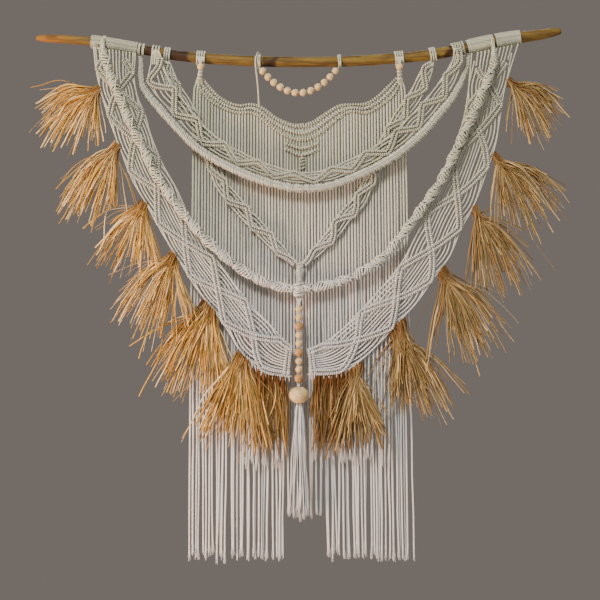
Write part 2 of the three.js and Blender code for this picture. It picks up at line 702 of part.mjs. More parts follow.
function makeChevrons() {
  for (const { name, head, rows } of CHEVRONS) {
    const { edge, steps, wave, snake, headHalf } = CHEVRON;
    const turns = new Route(rows).length / wave;
    const edges = [-edge, edge].map((lane) => strand(chevronRoute(rows, () => lane), steps));
    const zigzag = chevronRoute(rows, (share) => snake * Math.sin(2 * Math.PI * turns * share));
    const shape = fuse([...edges, bar(zigzag, CHEVRON_BAR)]);
    piece(name, shape.add(collar(head - headHalf, head + headHalf)), 'cotton');
  }
  const outline = (row, share, angle) => oval(row.r * SINNET.flat, row.r, angle);
  piece('centre_sinnet', sweep(new Route(SINNET_ROWS), { ...SINNET, outline }), 'cotton');
}

// The spiral swag
function makeSpiral() {
  const route = new Route(SPIRAL_ROWS);
  const halfTurns = route.length / SPIRAL.pitch;
  const middle = route.find('x', MIDDLE_X);
  const outline = (row, share, angle) => {
    const twist = Math.PI * halfTurns * (share - middle);
    const flat = oval(row.wide * SPIRAL.thin, row.wide, angle);
    return {
      front: flat.front * Math.cos(twist) - flat.across * Math.sin(twist),
      across: flat.front * Math.sin(twist) + flat.across * Math.cos(twist),
    };
  };
  const steps = Math.round(halfTurns * SPIRAL.stepsPerTurn);
  let shape = solid(sweep(route, { sides: 4, steps, outline }));
  for (const { x, lift } of SPIRAL_HEADS) {
    shape = shape.add(collar(x - SPIRAL.loopHalf, x + SPIRAL.loopHalf, lift));
  }
  piece('spiral_swag', shape, 'cotton');
}

// The outer bands, with their tufts, raffia rows and fringes
function bandMiddle(rows) {
  return new Route(rows.map(({ ox, oz, ix, iz, y, n }) => ({
    x: (ox + ix) / 2,
    y,
    z: (oz + iz) / 2,
    hx: (ix - ox) / 2,
    hz: (iz - oz) / 2,
    n,
  })));
}

// A route along a band. The lane runs from -1 at the outer edge to 1 at the inner
// edge, and inset keeps the route inside the edge.
function bandRoute(middle, lane, inset) {
  return middle.beside(BAND.samples, (row) => {
    const half = Math.hypot(row.hx, row.hz);
    const side = lane(row) * (1 - inset / half);
    return { x: row.x + row.hx * side, y: row.y, z: row.z + row.hz * side };
  });
}

function makeBand({ name, heads }, middle) {
  const lanes = BAND.lanes.map((lane) => strand(bandRoute(middle, () => lane, EDGE_INSET), BAND.steps));
  const bars = [-1, 1].map((side) => {
    const route = bandRoute(middle, (row) => side * Math.sin(Math.PI * row.n), BAR.half * (1 + BAR.ridge));
    return bar(new Route(route.rows.map((row) => ({ ...row, y: row.y + side * BAR.over }))));
  });
  let shape = fuse([...lanes, ...bars]);
  for (const { from, to } of heads) shape = shape.add(collar(from, to));
  piece(`outer_band_${name}`, shape, 'cotton');
}

// A lock of fringe. Its width is a multiple of its depth.
function lock(root, tip, depth, radius, wide) {
  const middle = root.clone().lerp(tip, 0.5);
  const rows = [
    { x: root.x, y: root.y, z: root.z, r: LOCK.root },
    { x: middle.x, y: (root.y + depth) / 2, z: middle.z + LOCK.rise, r: radius },
    { x: tip.x, y: depth, z: tip.z, r: LOCK.tip },
  ];
  const outline = (row, share, angle) => oval(row.r, row.r * wide, angle);
  return sweep(new Route(rows), { sides: 3, steps: 2, outline });
}

// The stretch of a band's edge strand at a share of its length. The strand runs
// straight from ring to ring, and outward points away from the band's middle.
function edgeStretch(edge, share) {
  const ring = Math.min(Math.floor(share * BAND.steps), BAND.steps - 1);
  const [start, end] = [ring, ring + 1].map((i) => edge.point(i / BAND.steps));
  const outward = end.clone().sub(start).normalize().cross(TO_VIEWER);
  if (start.x > 0) outward.negate();
  return { place: start.lerp(end, share * BAND.steps - ring), outward };
}

function makeTuft(tuft, number, edge) {
  const { place, outward } = edgeStretch(edge, edge.find('z', tuft.level));
  const depth = number % 2 === 0 ? TUFT.near : TUFT.far;
  const aim = THREE.MathUtils.degToRad((tuft.from + tuft.to) / 2);
  const heading = new THREE.Vector3(Math.cos(aim), 0, Math.sin(aim));
  const { radius, length } = TUFT_HEAD;
  const lean = outward.dot(heading);
  const headReach = radius * Math.sin(Math.PI / 3) * Math.sqrt(1 - lean * lean);
  const seat = place.addScaledVector(outward, STRAND_REACH + SEAT + headReach).setY(BAND_DEPTH);
  const headEnd = seat.clone().addScaledVector(heading, length).setY((BAND_DEPTH + depth) / 2);
  const headRows = [seat, headEnd].map(({ x, y, z }) => ({ x, y, z }));
  const parts = [sweep(new Route(headRows), { sides: 6, steps: 1, outline: round(radius) })];
  const fan = new THREE.Vector3(-Math.sin(aim), 0, Math.cos(aim));
  fan.multiplyScalar(Math.sign(tuft.to - tuft.from));
  for (let i = 0; i < TUFT.locks; i++) {
    const wave = uneven(i + 10 * number);
    const root = headEnd.clone();
    root.y += i % 2 === 0 ? TUFT.stagger : -TUFT.stagger;
    root.lerp(seat, TUFT.sunk).addScaledVector(fan, TUFT.apart * (i - (TUFT.locks - 1) / 2));
    const turn = THREE.MathUtils.lerp(tuft.from, tuft.to, i / (TUFT.locks - 1));
    const angle = THREE.MathUtils.degToRad(turn);
    const reach = tuft.reach * (1 - TUFT.uneven + TUFT.uneven * wave);
    const tip = new THREE.Vector3(seat.x + reach * Math.cos(angle), 0, seat.z + reach * Math.sin(angle));
    parts.push(lock(root, tip, depth + TUFT.sway * wave, LOCK.body, RAFFIA_WIDTH));
  }
  piece(`raffia_${tuft.name}`, fuse(parts), 'raffia');
}

// Locks that hang from a narrow strip between two shares of a route.
function hangingLocks(strip, { locks, level, radius, wide, uneven: reach, clear }, seed) {
  return Array.from({ length: locks }, (_, i) => {
    const root = strip.point((i + 0.5) / locks);
    const drift = HANGING_DRIFT * uneven(i + seed + locks);
    const x = Math.sign(root.x) * Math.max(Math.abs(root.x + drift), clear);
    const tip = new THREE.Vector3(x, 0, level + reach * uneven(i + seed));
    return lock(root, tip, root.y, radius, wide);
  });
}

function makeRaffiaRow({ name, seed, rowFrom, rowTo }, edge) {
  const from = edge.find('x', rowFrom);
  const to = edge.find('x', rowTo);
  const { half } = RAFFIA_ROW;
  const aside = Math.sign(-rowFrom) * (EDGE_INSET + 2 * SEAT + half);
  const strip = edge.beside(STRIP.samples, (row, share) => {
    const at = from + (to - from) * share;
    const place = edge.point(at).addScaledVector(edge.frame(at).across, aside);
    return { x: place.x, y: BAND_DEPTH, z: place.z };
  });
  const outline = round(half * Math.SQRT2);
  const backing = sweep(strip, { sides: 4, steps: STRIP.steps, turn: -Math.PI / 4, outline });
  piece(`raffia_${name}7`, fuse([backing, ...hangingLocks(strip, RAFFIA_ROW, seed)]), 'raffia');
}

function makeFringe({ name, seed, fringeFrom, rowTo }, middle) {
  const { depth, half, wide, lane } = FRINGE_STRIP;
  const line = bandRoute(middle, () => lane, 0);
  const from = line.find('x', fringeFrom);
  const to = line.find('x', rowTo);
  const strip = line.beside(STRIP.samples, (row, share) => {
    const place = line.point(from + (to - from) * share);
    return { x: place.x, y: depth, z: place.z };
  });
  const outline = (row, share, angle) => oval(half * Math.SQRT2, wide * Math.SQRT2, angle);
  const backing = sweep(strip, { sides: 4, steps: STRIP.steps, turn: -Math.PI / 4, outline });
  const locks = hangingLocks(strip, FRINGE, seed + FRINGE_STRIP.seed);
  piece(`cord_fringe_${name}`, fuse([backing, ...locks]), 'cotton');
}

function makeOuterBands() {
  for (const band of OUTER_BANDS) {
    const middle = bandMiddle(band.rows);
    makeBand(band, middle);
    const edge = bandRoute(middle, () => -1, EDGE_INSET);
    TUFTS.filter((tuft) => tuft.name.startsWith(band.name)).forEach((tuft, i) => makeTuft(tuft, i, edge));
    makeRaffiaRow(band, edge);
    makeFringe(band, middle);
  }
}

// The bead strand in the middle, the big bead and the tassel
function makeBeadStrand() {
  const { top, topDepth, bendDepth, level, wide, thin } = STRAND_CORDS;
  const end = BIG_BEAD_LEVEL - BIG_BEAD.half + STRAND_END;
  const x = MIDDLE_X;
  const route = new Route([
    { x, y: topDepth, z: top, wide },
    { x, y: bendDepth, z: (top + level) / 2, wide },
    { x, y: STRAND_DEPTH, z: level + STRAND_NECK.above, wide: STRAND_NECK.wide },
    { x, y: STRAND_DEPTH, z: level - STRAND_NECK.below, wide: thin },
    { x, y: STRAND_DEPTH, z: (level + end) / 2, wide: thin },
    { x, y: STRAND_DEPTH, z: end, wide: thin },
  ]);
  const outline = (row, share, angle) => oval(thin, row.wide, angle);
  piece('strand_cords', sweep(route, { sides: 8, steps: 14, outline }), 'cotton');
  const { count, brownEvery, from, gap } = STRAND_BEADS;
  let below = from + LIGHT_BEAD.half;
  for (let i = 1; i <= count; i++) {
    const brown = i % brownEvery === 0;
    const size = brown ? BROWN_BEAD : LIGHT_BEAD;
    const place = new THREE.Vector3(x, STRAND_DEPTH, below - size.half);
    bead(`strand_bead_${i}`, size, brown ? 'brownBead' : 'lightBead', place);
    below -= 2 * size.half + gap;
  }
  bead('big_bead', BIG_BEAD, 'lightBead', new THREE.Vector3(x, STRAND_DEPTH, BIG_BEAD_LEVEL));
}

function makeTassel() {
  const { locks, level, uneven: reach, spread, radius, row, seed } = TASSEL;
  const { radius: head, length, rootReach, rootRow, rootSunk } = TASSEL_HEAD;
  const top = BIG_BEAD_LEVEL - BIG_BEAD.half - SEAT;
  const headRoute = new Route([
    { x: MIDDLE_X, y: STRAND_DEPTH, z: top },
    { x: MIDDLE_X, y: STRAND_DEPTH, z: top - length },
  ]);
  const parts = [sweep(headRoute, { sides: 6, steps: 1, outline: round(head) })];
  for (let i = 0; i < locks; i++) {
    const side = (2 * i) / (locks - 1) - 1;
    const back = i % 2 === 0 ? -1 : 1;
    const rootX = MIDDLE_X + side * rootReach;
    const root = new THREE.Vector3(rootX, STRAND_DEPTH + back * rootRow, top - length + rootSunk);
    const tip = new THREE.Vector3(MIDDLE_X + side * spread, 0, level + reach * uneven(i + seed));
    parts.push(lock(root, tip, STRAND_DEPTH + back * row, radius, 1));
  }
  piece('tassel', fuse(parts), 'cotton');
}

makeBranch();
makeCurtain();
makeGarland();
makeRoll();
makeSwag();
makeChevrons();
makeSpiral();
makeOuterBands();
makeBeadStrand();
makeTassel();

export default hanging;
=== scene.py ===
"""A macrame wall hanging on a wooden branch, dressed in cord, raffia and beads."""

import logging
import math
from dataclasses import dataclass
from enum import Enum
from typing import Any, Callable, Optional, Sequence, Union

import bpy
import numpy as np
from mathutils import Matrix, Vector


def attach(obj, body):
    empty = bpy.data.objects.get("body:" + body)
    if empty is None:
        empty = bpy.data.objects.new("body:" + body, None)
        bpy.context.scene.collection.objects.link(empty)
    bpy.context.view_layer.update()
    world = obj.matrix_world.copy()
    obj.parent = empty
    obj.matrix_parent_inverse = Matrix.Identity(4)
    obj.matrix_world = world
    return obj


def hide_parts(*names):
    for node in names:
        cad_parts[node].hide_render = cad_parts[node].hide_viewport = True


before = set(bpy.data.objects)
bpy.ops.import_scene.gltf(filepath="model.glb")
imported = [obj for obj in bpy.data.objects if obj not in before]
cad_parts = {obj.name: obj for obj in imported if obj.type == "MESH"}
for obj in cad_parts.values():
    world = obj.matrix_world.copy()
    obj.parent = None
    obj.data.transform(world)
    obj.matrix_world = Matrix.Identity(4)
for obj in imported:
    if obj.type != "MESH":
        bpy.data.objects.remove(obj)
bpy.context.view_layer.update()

log = logging.getLogger("wall_hanging")

MM = 0.001
BODY = "root"
TO_VIEWER = np.array([0.0, -1.0, 0.0])
UP = np.array([0.0, 0.0, 1.0])
Columns = dict[str, np.ndarray]
Number = Union[float, np.ndarray]
Thing = bpy.types.Object


class Slot(Enum):
    """The material slots, by name."""

    WOOD = "branch_wood"
    COTTON = "cotton_cord"
    RAFFIA = "raffia"
    LIGHT_BEAD = "light_bead"
    BROWN_BEAD = "brown_bead"


# Node trees


def arithmetic(operation: str, swapped: bool = False) -> Callable:
    """An operator for flows.

    Args:
        operation: The Math node's operation.
        swapped: Whether the other value comes first.

    Returns:
        The method.
    """

    def method(self: "Flow", other: Any) -> "Flow":
        """Puts both values through a Math node."""
        return self.maths(operation, other, self) if swapped else self.maths(operation, self, other)

    return method


class Flow:
    """What flows out of a node's socket, with plain arithmetic on numbers."""

    def __init__(self, nodes: "Nodes", node: bpy.types.Node, output: Union[int, str] = 0) -> None:
        """Keeps one output of a node, by its place or name."""
        self.nodes, self.node = nodes, node
        self.socket = find_socket(node.outputs, output) if len(node.outputs) else None

    __add__ = __radd__ = arithmetic("ADD")
    __sub__, __rsub__ = arithmetic("SUBTRACT"), arithmetic("SUBTRACT", True)
    __mul__ = __rmul__ = arithmetic("MULTIPLY")
    __truediv__, __rtruediv__ = arithmetic("DIVIDE"), arithmetic("DIVIDE", True)
    __lt__, __gt__ = arithmetic("LESS_THAN"), arithmetic("GREATER_THAN")

    def other(self, output: Union[int, str]) -> "Flow":
        """Another output of the same node."""
        return Flow(self.nodes, self.node, output)

    def maths(self, operation: str, *values: Any) -> "Flow":
        """A Math node on some values, in the order of its sockets."""
        return self.nodes.add("ShaderNodeMath", dict(enumerate(values)), operation=operation)

    def size(self) -> "Flow":
        """Absolute value."""
        return self.maths("ABSOLUTE", self)

    def power(self, exponent: float) -> "Flow":
        """Power."""
        return self.maths("POWER", self, exponent)

    def between(self, low: float, high: float) -> "Flow":
        """Zero at low, one at high, smooth and held beyond them."""
        sockets = {"Value": self, "From Min": low, "From Max": high}
        return self.nodes.add("ShaderNodeMapRange", sockets, interpolation_type="SMOOTHSTEP")


def find_socket(sockets: Any, key: Union[int, str]) -> bpy.types.NodeSocket:
    """A socket by its place, or the first open one with a name.

    Args:
        sockets: A node's inputs or outputs.
        key: Place or name.

    Returns:
        The socket.
    """
    if isinstance(key, int):
        return sockets[key]
    named = [s for s in sockets if s.name == key]
    return ([s for s in named if s.enabled] or named)[0]


class Nodes:
    """Adds nodes to one tree."""

    def __init__(self, tree: bpy.types.NodeTree) -> None:
        """Keeps the tree."""
        self.tree = tree

    def set(self, node: bpy.types.Node, sockets: dict) -> None:
        """Sets or links a node's inputs.

        Args:
            node: The node.
            sockets: Values or flows for its inputs, by place or name.
        """
        for key, value in sockets.items():
            socket = find_socket(node.inputs, key)
            if isinstance(value, Flow):
                self.tree.links.new(value.socket, socket)
            else:
                socket.default_value = value

    def add(self, kind: str, sockets: Optional[dict] = None, **settings: Any) -> Flow:
        """Adds a node.

        Args:
            kind: The node's type.
            sockets: Values or flows for its inputs, by place or name.
            settings: The node's own properties, which are set first.

        Returns:
            The node's first open output.
        """
        node = self.tree.nodes.new(kind)
        for name, value in settings.items():
            setattr(node, name, value)
        self.set(node, sockets or {})
        opened = [i for i, s in enumerate(node.outputs) if s.enabled]
        return Flow(self, node, opened[0] if opened else 0)

    def mix(self, factor: Any, a: Any, b: Any) -> Flow:
        """Mixes two colours, each a flow or three numbers."""
        a, b = (colour if isinstance(colour, Flow) else (*colour, 1) for colour in (a, b))
        return self.add("ShaderNodeMix", {"Factor": factor, "A": a, "B": b}, data_type="RGBA")

    def vector(self, x: Any = 0.0, y: Any = 0.0, z: Any = 0.0) -> Flow:
        """A vector of three numbers."""
        return self.add("ShaderNodeCombineXYZ", {"X": x, "Y": y, "Z": z})

    def vectors(self, operation: str, sockets: dict) -> Flow:
        """A Vector Math node."""
        return self.add("ShaderNodeVectorMath", sockets, operation=operation)

    def named(self, name: str, kind: str = "FLOAT") -> Flow:
        """A named attribute in a Geometry Nodes tree."""
        return self.add("GeometryNodeInputNamedAttribute", {"Name": name}, data_type=kind)

    def stored(self, name: str) -> Flow:
        """A number that is stored on the surface, in a material."""
        return self.add("ShaderNodeAttribute", attribute_name=name).other("Fac")

    def place(self) -> Flow:
        """The place on the object."""
        return self.add("ShaderNodeTexCoord").other("Object")

    def part(self, vector: Flow, axis: str) -> Flow:
        """One number of a vector."""
        return self.add("ShaderNodeSeparateXYZ", {"Vector": vector}).other(axis)

    def lengthwise(self) -> tuple[Flow, Flow]:
        """How far along its cord and how far round it a place is."""
        way = self.add("ShaderNodeUVMap", uv_map="UVMap")
        return self.part(way, "X"), self.part(way, "Y")

    def stretched(self, vector: Flow, *scale: float) -> Flow:
        """A vector with each axis scaled."""
        return self.add("ShaderNodeMapping", {"Vector": vector, "Scale": scale})

    def noise(self, vector: Flow, scale: float = 1.0, detail: float = 3.0, **more: float) -> Flow:
        """Smooth noise from zero to one."""
        sockets = {"Vector": vector, "Scale": scale, "Detail": detail, **more}
        return self.add("ShaderNodeTexNoise", sockets).other("Fac")

    def bump(self, height: Flow, strength: float, distance: float) -> Flow:
        """The bent normal of a height."""
        return self.add("ShaderNodeBump", {"Strength": strength, "Distance": distance, "Height": height})


def put(name: str, data: bpy.types.ID) -> Thing:
    """Puts a mesh, lamp or camera into the scene.

    Args:
        name: The object's name.
        data: What it shows.

    Returns:
        The object.
    """
    made = bpy.data.objects.new(name, data)
    bpy.context.scene.collection.objects.link(made)
    return made


class CordTree:
    """A Geometry Nodes tree that makes cords from the lines of its host mesh."""

    title = "cords"
    inputs = (
        ("Radius", "Float", 0.002), ("Sides", "Int", 6), ("Flat", "Float", 1.0), ("Step", "Float", 0.012),
        ("Wobble", "Float", 0.0), ("Wobble Size", "Float", 9.0), ("Seed", "Int", 1),
        ("Material", "Material", None),
    )
    scratch = ("along", "around", "girth", "tilt", "half", "deep", "turn", "lean", "edge", "forward", "front")

    def __init__(self) -> None:
        """Builds the tree."""
        self.group = bpy.data.node_groups.new(self.title, "GeometryNodeTree")
        self.nodes = Nodes(self.group)
        self.sockets: dict[str, str] = {}
        face = self.group.interface
        for way in ("OUTPUT", "INPUT"):
            face.new_socket(name="Geometry", in_out=way, socket_type="NodeSocketGeometry")
        for name, kind, value in self.inputs:
            socket = face.new_socket(name=name, in_out="INPUT", socket_type=f"NodeSocket{kind}")
            if value is not None:
                socket.default_value = value
            self.sockets[name] = socket.identifier
        self.source = self.nodes.add("NodeGroupInput")
        add = self.nodes.add
        mesh = add("GeometryNodeRealizeInstances", {"Geometry": self.mesh()})
        for name in self.scratch:
            mesh = add("GeometryNodeRemoveAttribute", {"Geometry": mesh, "Name": name})
        mesh = add("GeometryNodeSetShadeSmooth", {"Geometry": mesh, "Shade Smooth": True})
        mesh = add("GeometryNodeSetMaterial", {"Geometry": mesh, "Material": self.source.other("Material")})
        add("NodeGroupOutput", {"Geometry": mesh})

    def stepped(self) -> Flow:
        """Steps along the host's lines.

        Returns:
            Curves with a point at each step.
        """
        curves = self.nodes.add("GeometryNodeMeshToCurve", {"Mesh": self.source.other("Geometry")})
        sockets = {"Curve": curves, "Length": self.source.other("Step")}
        return self.nodes.add("GeometryNodeResampleCurve", sockets, mode="LENGTH")

    def chance(self, low: Any, high: Any, salt: float = 0.0) -> Flow:
        """A random number for each point or copy."""
        sockets = {"Min": low, "Max": high, "Seed": self.source.other("Seed") + salt}
        return self.nodes.add("FunctionNodeRandomValue", sockets, data_type="FLOAT")

    def turned(self, facing: Flow, x: Any = 0.0, z: Any = 0.0) -> Flow:
        """Turns a rotation further about its own axes.

        Args:
            facing: The rotation.
            x: Radians about X.
            z: Radians about Z.

        Returns:
            The new rotation.
        """
        turn = self.nodes.add("FunctionNodeEulerToRotation", {"Euler": self.nodes.vector(x, 0.0, z)})
        sockets = {"Rotation": facing, "Rotate By": turn}
        return self.nodes.add("FunctionNodeRotateRotation", sockets, rotation_space="LOCAL")

    def lines(self) -> Flow:
        """The lines that the cords follow, each a little restless.

        Returns:
            Curves with girth, tilt and shade at each point.
        """
        nodes, source = self.nodes, self.source
        salt = nodes.named("shade") * 40.0 + source.other("Seed")
        place = {"W": salt, "Scale": source.other("Wobble Size"), "Detail": 1.0}
        noise = nodes.add("ShaderNodeTexNoise", place, noise_dimensions="4D").other("Color")
        centred = nodes.vectors("SUBTRACT", {0: noise, 1: (0.5, 0.5, 0.5)})
        push = nodes.vectors("SCALE", {0: centred, 3: source.other("Wobble") * 4.0})
        curves = nodes.add("GeometryNodeSetPosition", {"Geometry": self.stepped(), "Offset": push})
        return nodes.add("GeometryNodeSetCurveTilt", {"Curve": curves, "Tilt": nodes.named("tilt")})

    def beside(self) -> Flow:
        """The direction to the neighbouring cords."""
        sockets = {0: self.nodes.add("GeometryNodeInputTangent"), 1: tuple(TO_VIEWER)}
        return self.nodes.vectors("NORMALIZE", {0: self.nodes.vectors("CROSS_PRODUCT", sockets)})

    def toward(self, direction: Flow) -> Flow:
        """How far the surface turns along a direction, from zero to one."""
        sockets = {0: self.nodes.add("GeometryNodeInputNormal"), 1: direction}
        return self.nodes.vectors("DOT_PRODUCT", sockets).other("Value").size()

    def crease(self) -> Flow:
        """How far the surface turns to its neighbours, the mask of the painted shade between cords."""
        return self.toward(self.nodes.named("forward", "FLOAT_VECTOR"))

    def keep(self, shape: Flow, name: str, value: Flow, kind: str = "FLOAT", domain: str = "POINT") -> Flow:
        """The shape with a named attribute."""
        sockets = {"Geometry": shape, "Name": name, "Value": value}
        return self.nodes.add("GeometryNodeStoreNamedAttribute", sockets, data_type=kind, domain=domain)

    def mesh(self) -> Flow:
        """Sweeps the lines and lays the UV map along them.

        Returns:
            The swept mesh.
        """
        nodes, source = self.nodes, self.source
        add = nodes.add
        curves = self.keep(self.lines(), "along", add("GeometryNodeSplineParameter").other("Length"))
        curves = self.keep(curves, "forward", self.beside(), "FLOAT_VECTOR")
        circle = {"Resolution": source.other("Sides"), "Radius": source.other("Radius")}
        ring = add("GeometryNodeCurvePrimitiveCircle", circle)
        flat = nodes.vector(1.0, source.other("Flat"), 1.0)
        ring = add("GeometryNodeTransform", {"Geometry": ring, "Scale": flat})
        ring = self.keep(ring, "around", add("GeometryNodeSplineParameter").other("Factor"))
        sweep = {"Curve": curves, "Profile Curve": ring, "Scale": nodes.named("girth"), "Fill Caps": True}
        around = nodes.named("around")
        average = add("GeometryNodeFieldOnDomain", {"Value": around}, data_type="FLOAT", domain="FACE")
        seam = (average > 0.25) * (around < 0.25 / source.other("Sides"))
        way = nodes.vector(nodes.named("along"), around + seam)
        mesh = self.keep(add("GeometryNodeCurveToMesh", sweep), "UVMap", way, "FLOAT2", "CORNER")
        # Stores the mask of the painted shade between cords, for the material.
        return self.keep(mesh, "crease", self.crease())

    def run(self, name: str, threads: "Threads", material: bpy.types.Material, **values: Any) -> Thing:
        """Runs the tree on a bundle of threads.

        Args:
            name: The new object's name.
            threads: The lines and their columns.
            material: The finish.
            values: Inputs of the tree, with underscores for spaces.

        Returns:
            A plain mesh object.
        """
        host = threads.host(f"{name}.host")
        modifier = host.modifiers.new(self.title, "NODES")
        modifier.node_group = self.group
        for key, value in {"material": material, **values}.items():
            modifier[self.sockets[key.replace("_", " ").title()]] = value
        bpy.context.view_layer.update()
        graph = bpy.context.evaluated_depsgraph_get()
        made = host.evaluated_get(graph)
        mesh = bpy.data.meshes.new_from_object(made, preserve_all_data_layers=True, depsgraph=graph)
        bpy.data.objects.remove(host)
        mesh.name = name
        return put(name, mesh)


class WrapTree(CordTree):
    """A tree that lays rings of cord round the lines of its host mesh."""

    title = "wraps"
    inputs = CordTree.inputs + (("Ring Points", "Int", 10), ("Jitter", "Float", 0.05))
    # Strengths of the painted shade between rings and on a row's sides.
    ring_gap_shade = 0.62
    edge_power = 3.0

    def beside(self) -> Flow:
        """The direction to the next ring."""
        return self.nodes.named("forward", "FLOAT_VECTOR")

    def crease(self) -> Flow:
        """How far the surface turns to the next ring, or to the row's edge, the mask of the painted shade
        there.

        Returns:
            From zero to one.
        """
        front = self.nodes.named("front", "FLOAT_VECTOR")
        across = self.nodes.vectors("CROSS_PRODUCT", {0: self.beside(), 1: front})
        # Painted shade where rings face each other, and on the sides of rows that have an edge value.
        painted_ring_gap_shade = super().crease() * self.ring_gap_shade
        rim = self.toward(across).power(self.edge_power) * self.nodes.named("edge")
        return painted_ring_gap_shade.maths("MAXIMUM", painted_ring_gap_shade, rim)

    def lines(self) -> Flow:
        """Rings at even steps, across the line or leaning.

        Returns:
            One closed curve for each ring.
        """
        nodes, source = self.nodes, self.source
        add = nodes.add
        axes = {"Primary Axis": self.beside(), "Secondary Axis": nodes.named("front", "FLOAT_VECTOR")}
        facing = add("FunctionNodeAxesToRotation", axes, primary_axis="Z", secondary_axis="X")
        jitter = source.other("Jitter")
        facing = self.turned(facing, z=nodes.named("turn"))
        facing = self.turned(facing, x=nodes.named("lean") + self.chance(jitter * -1.0, jitter, 1.0) * 2.0)
        circle = {"Resolution": source.other("Ring Points"), "Radius": 1.0}
        ring = add("GeometryNodeCurvePrimitiveCircle", circle)
        swell = 1.0 + self.chance(jitter * -1.0, jitter, 2.0)
        size = nodes.vector(nodes.named("deep") * swell, nodes.named("half") * swell, 1.0)
        sockets = {"Points": self.stepped(), "Instance": ring, "Rotation": facing, "Scale": size}
        copies = add("GeometryNodeInstanceOnPoints", sockets)
        rings = add("GeometryNodeRealizeInstances", {"Geometry": copies})
        return add("GeometryNodeSetCurveRadius", {"Curve": rings, "Radius": 1.0})


class BeadTree(CordTree):
    """A tree that sets a copy of one bead on each point of its host mesh, its bore along the line."""

    title = "beads"
    inputs = (
        ("Bead", "Object", None), ("Material", "Material", None), ("Jitter", "Float", 0.02),
        ("Seed", "Int", 1),
    )
    scratch = ("forward",)

    def mesh(self) -> Flow:
        """Sets a copy of the bead on each point.

        Returns:
            The copies.
        """
        add, source = self.nodes.add, self.source
        sockets = {"Vector": self.nodes.named("forward", "FLOAT_VECTOR")}
        facing = add("FunctionNodeAlignRotationToVector", sockets, axis="Z")
        facing = self.turned(facing, z=self.chance(0.0, math.tau))
        size = self.chance(1.0 - source.other("Jitter"), 1.0, 5.0)
        swell = self.nodes.vector(size, size, size)
        bead = add("GeometryNodeObjectInfo", {"Object": source.other("Bead")}).other("Geometry")
        points = add("GeometryNodeMeshToPoints", {"Mesh": source.other("Geometry")})
        sockets = {"Points": points, "Instance": bead, "Rotation": facing, "Scale": swell}
        return add("GeometryNodeInstanceOnPoints", sockets)


# Routes and threads


def columns(names: str, rows: Sequence[Sequence[float]]) -> Columns:
    """A table of rows as an array for each name; the names have spaces between them."""
    return dict(zip(names.split(), np.array(rows, float).T))


def unit(vectors: np.ndarray) -> np.ndarray:
    """The vectors at length one."""
    return vectors / np.maximum(np.linalg.norm(vectors, axis=-1, keepdims=True), 1e-9)


def milestones(points: np.ndarray) -> np.ndarray:
    """How far along a line of places each of them is."""
    return np.concatenate([[0.0], np.cumsum(np.linalg.norm(np.diff(points, axis=0), axis=1))])


def zigzag(n: np.ndarray) -> np.ndarray:
    """A wave of straight strokes that turns halfway between whole numbers."""
    return 2 / math.pi * np.arcsin(np.sin(math.pi * n))


class Route:
    """A smooth way through a table of stations, in millimetres."""

    def __init__(self, table: Columns) -> None:
        """Measures the way.

        Args:
            table: Columns x and z, and any others; y is zero if it isn't there.
        """
        self.table = {"y": np.zeros(len(table["x"])), **table}
        self.marks = milestones(np.stack([self.table[key] for key in "xyz"], 1))
        self.length = float(self.marks[-1])

    def at(self, shares: Number) -> Columns:
        """Every column at some shares of the length.

        Args:
            shares: Shares from 0 to 1.

        Returns:
            An array for each column.
        """
        mark = np.clip(np.atleast_1d(shares), 0, 1) * self.length
        last = len(self.marks) - 1
        i = np.clip(np.searchsorted(self.marks, mark, side="left") - 1, 0, last - 1)
        span = self.marks[i + 1] - self.marks[i]
        t = (mark - self.marks[i]) / span
        before, after = np.maximum(np.arange(last + 1) - 1, 0), np.minimum(np.arange(last + 1) + 1, last)
        found = {}
        for key, values in self.table.items():
            slope = (values[after] - values[before]) / (self.marks[after] - self.marks[before])
            turn = t * t * (3 - 2 * t)
            bend = slope[i] * span * t * (1 - t) ** 2 - slope[i + 1] * span * t * t * (1 - t)
            found[key] = values[i] + (values[i + 1] - values[i]) * turn + bend
        return found

    def points(self, shares: Number) -> np.ndarray:
        """Places at some shares of the length."""
        row = self.at(shares)
        return np.stack([row[key] for key in "xyz"], 1)

    def frames(self, shares: Number) -> tuple[np.ndarray, np.ndarray, np.ndarray]:
        """Directions at some shares of the length.

        Args:
            shares: Shares from 0 to 1.

        Returns:
            Forward, towards the viewer, and across.
        """
        shares = np.atleast_1d(shares)
        small = 1e-3
        ahead = self.points(np.minimum(shares + small, 1))
        forward = unit(ahead - self.points(np.maximum(shares - small, 0)))
        front = unit(TO_VIEWER - forward * (forward @ TO_VIEWER)[:, None])
        return forward, front, np.cross(forward, front)

    def find(self, key: str, value: float) -> float:
        """The share where a column has a value.

        Args:
            key: A column that only rises or only falls.
            value: The value.

        Returns:
            The share.
        """
        low, high = 0.0, 1.0
        rising = self.at(1.0)[key][0] > self.at(0.0)[key][0]
        for _ in range(40):
            middle = (low + high) / 2
            if (self.at(middle)[key][0] > value) == rising:
                high = middle
            else:
                low = middle
        return low


def through(points: Sequence) -> Route:
    """A route through places."""
    return Route({key: np.array(points, float)[:, i] for i, key in enumerate("xyz")})


def smooth(points: Sequence, count: int) -> np.ndarray:
    """Places at even steps of the smooth line through some others."""
    return through(points).points(np.linspace(0, 1, count))


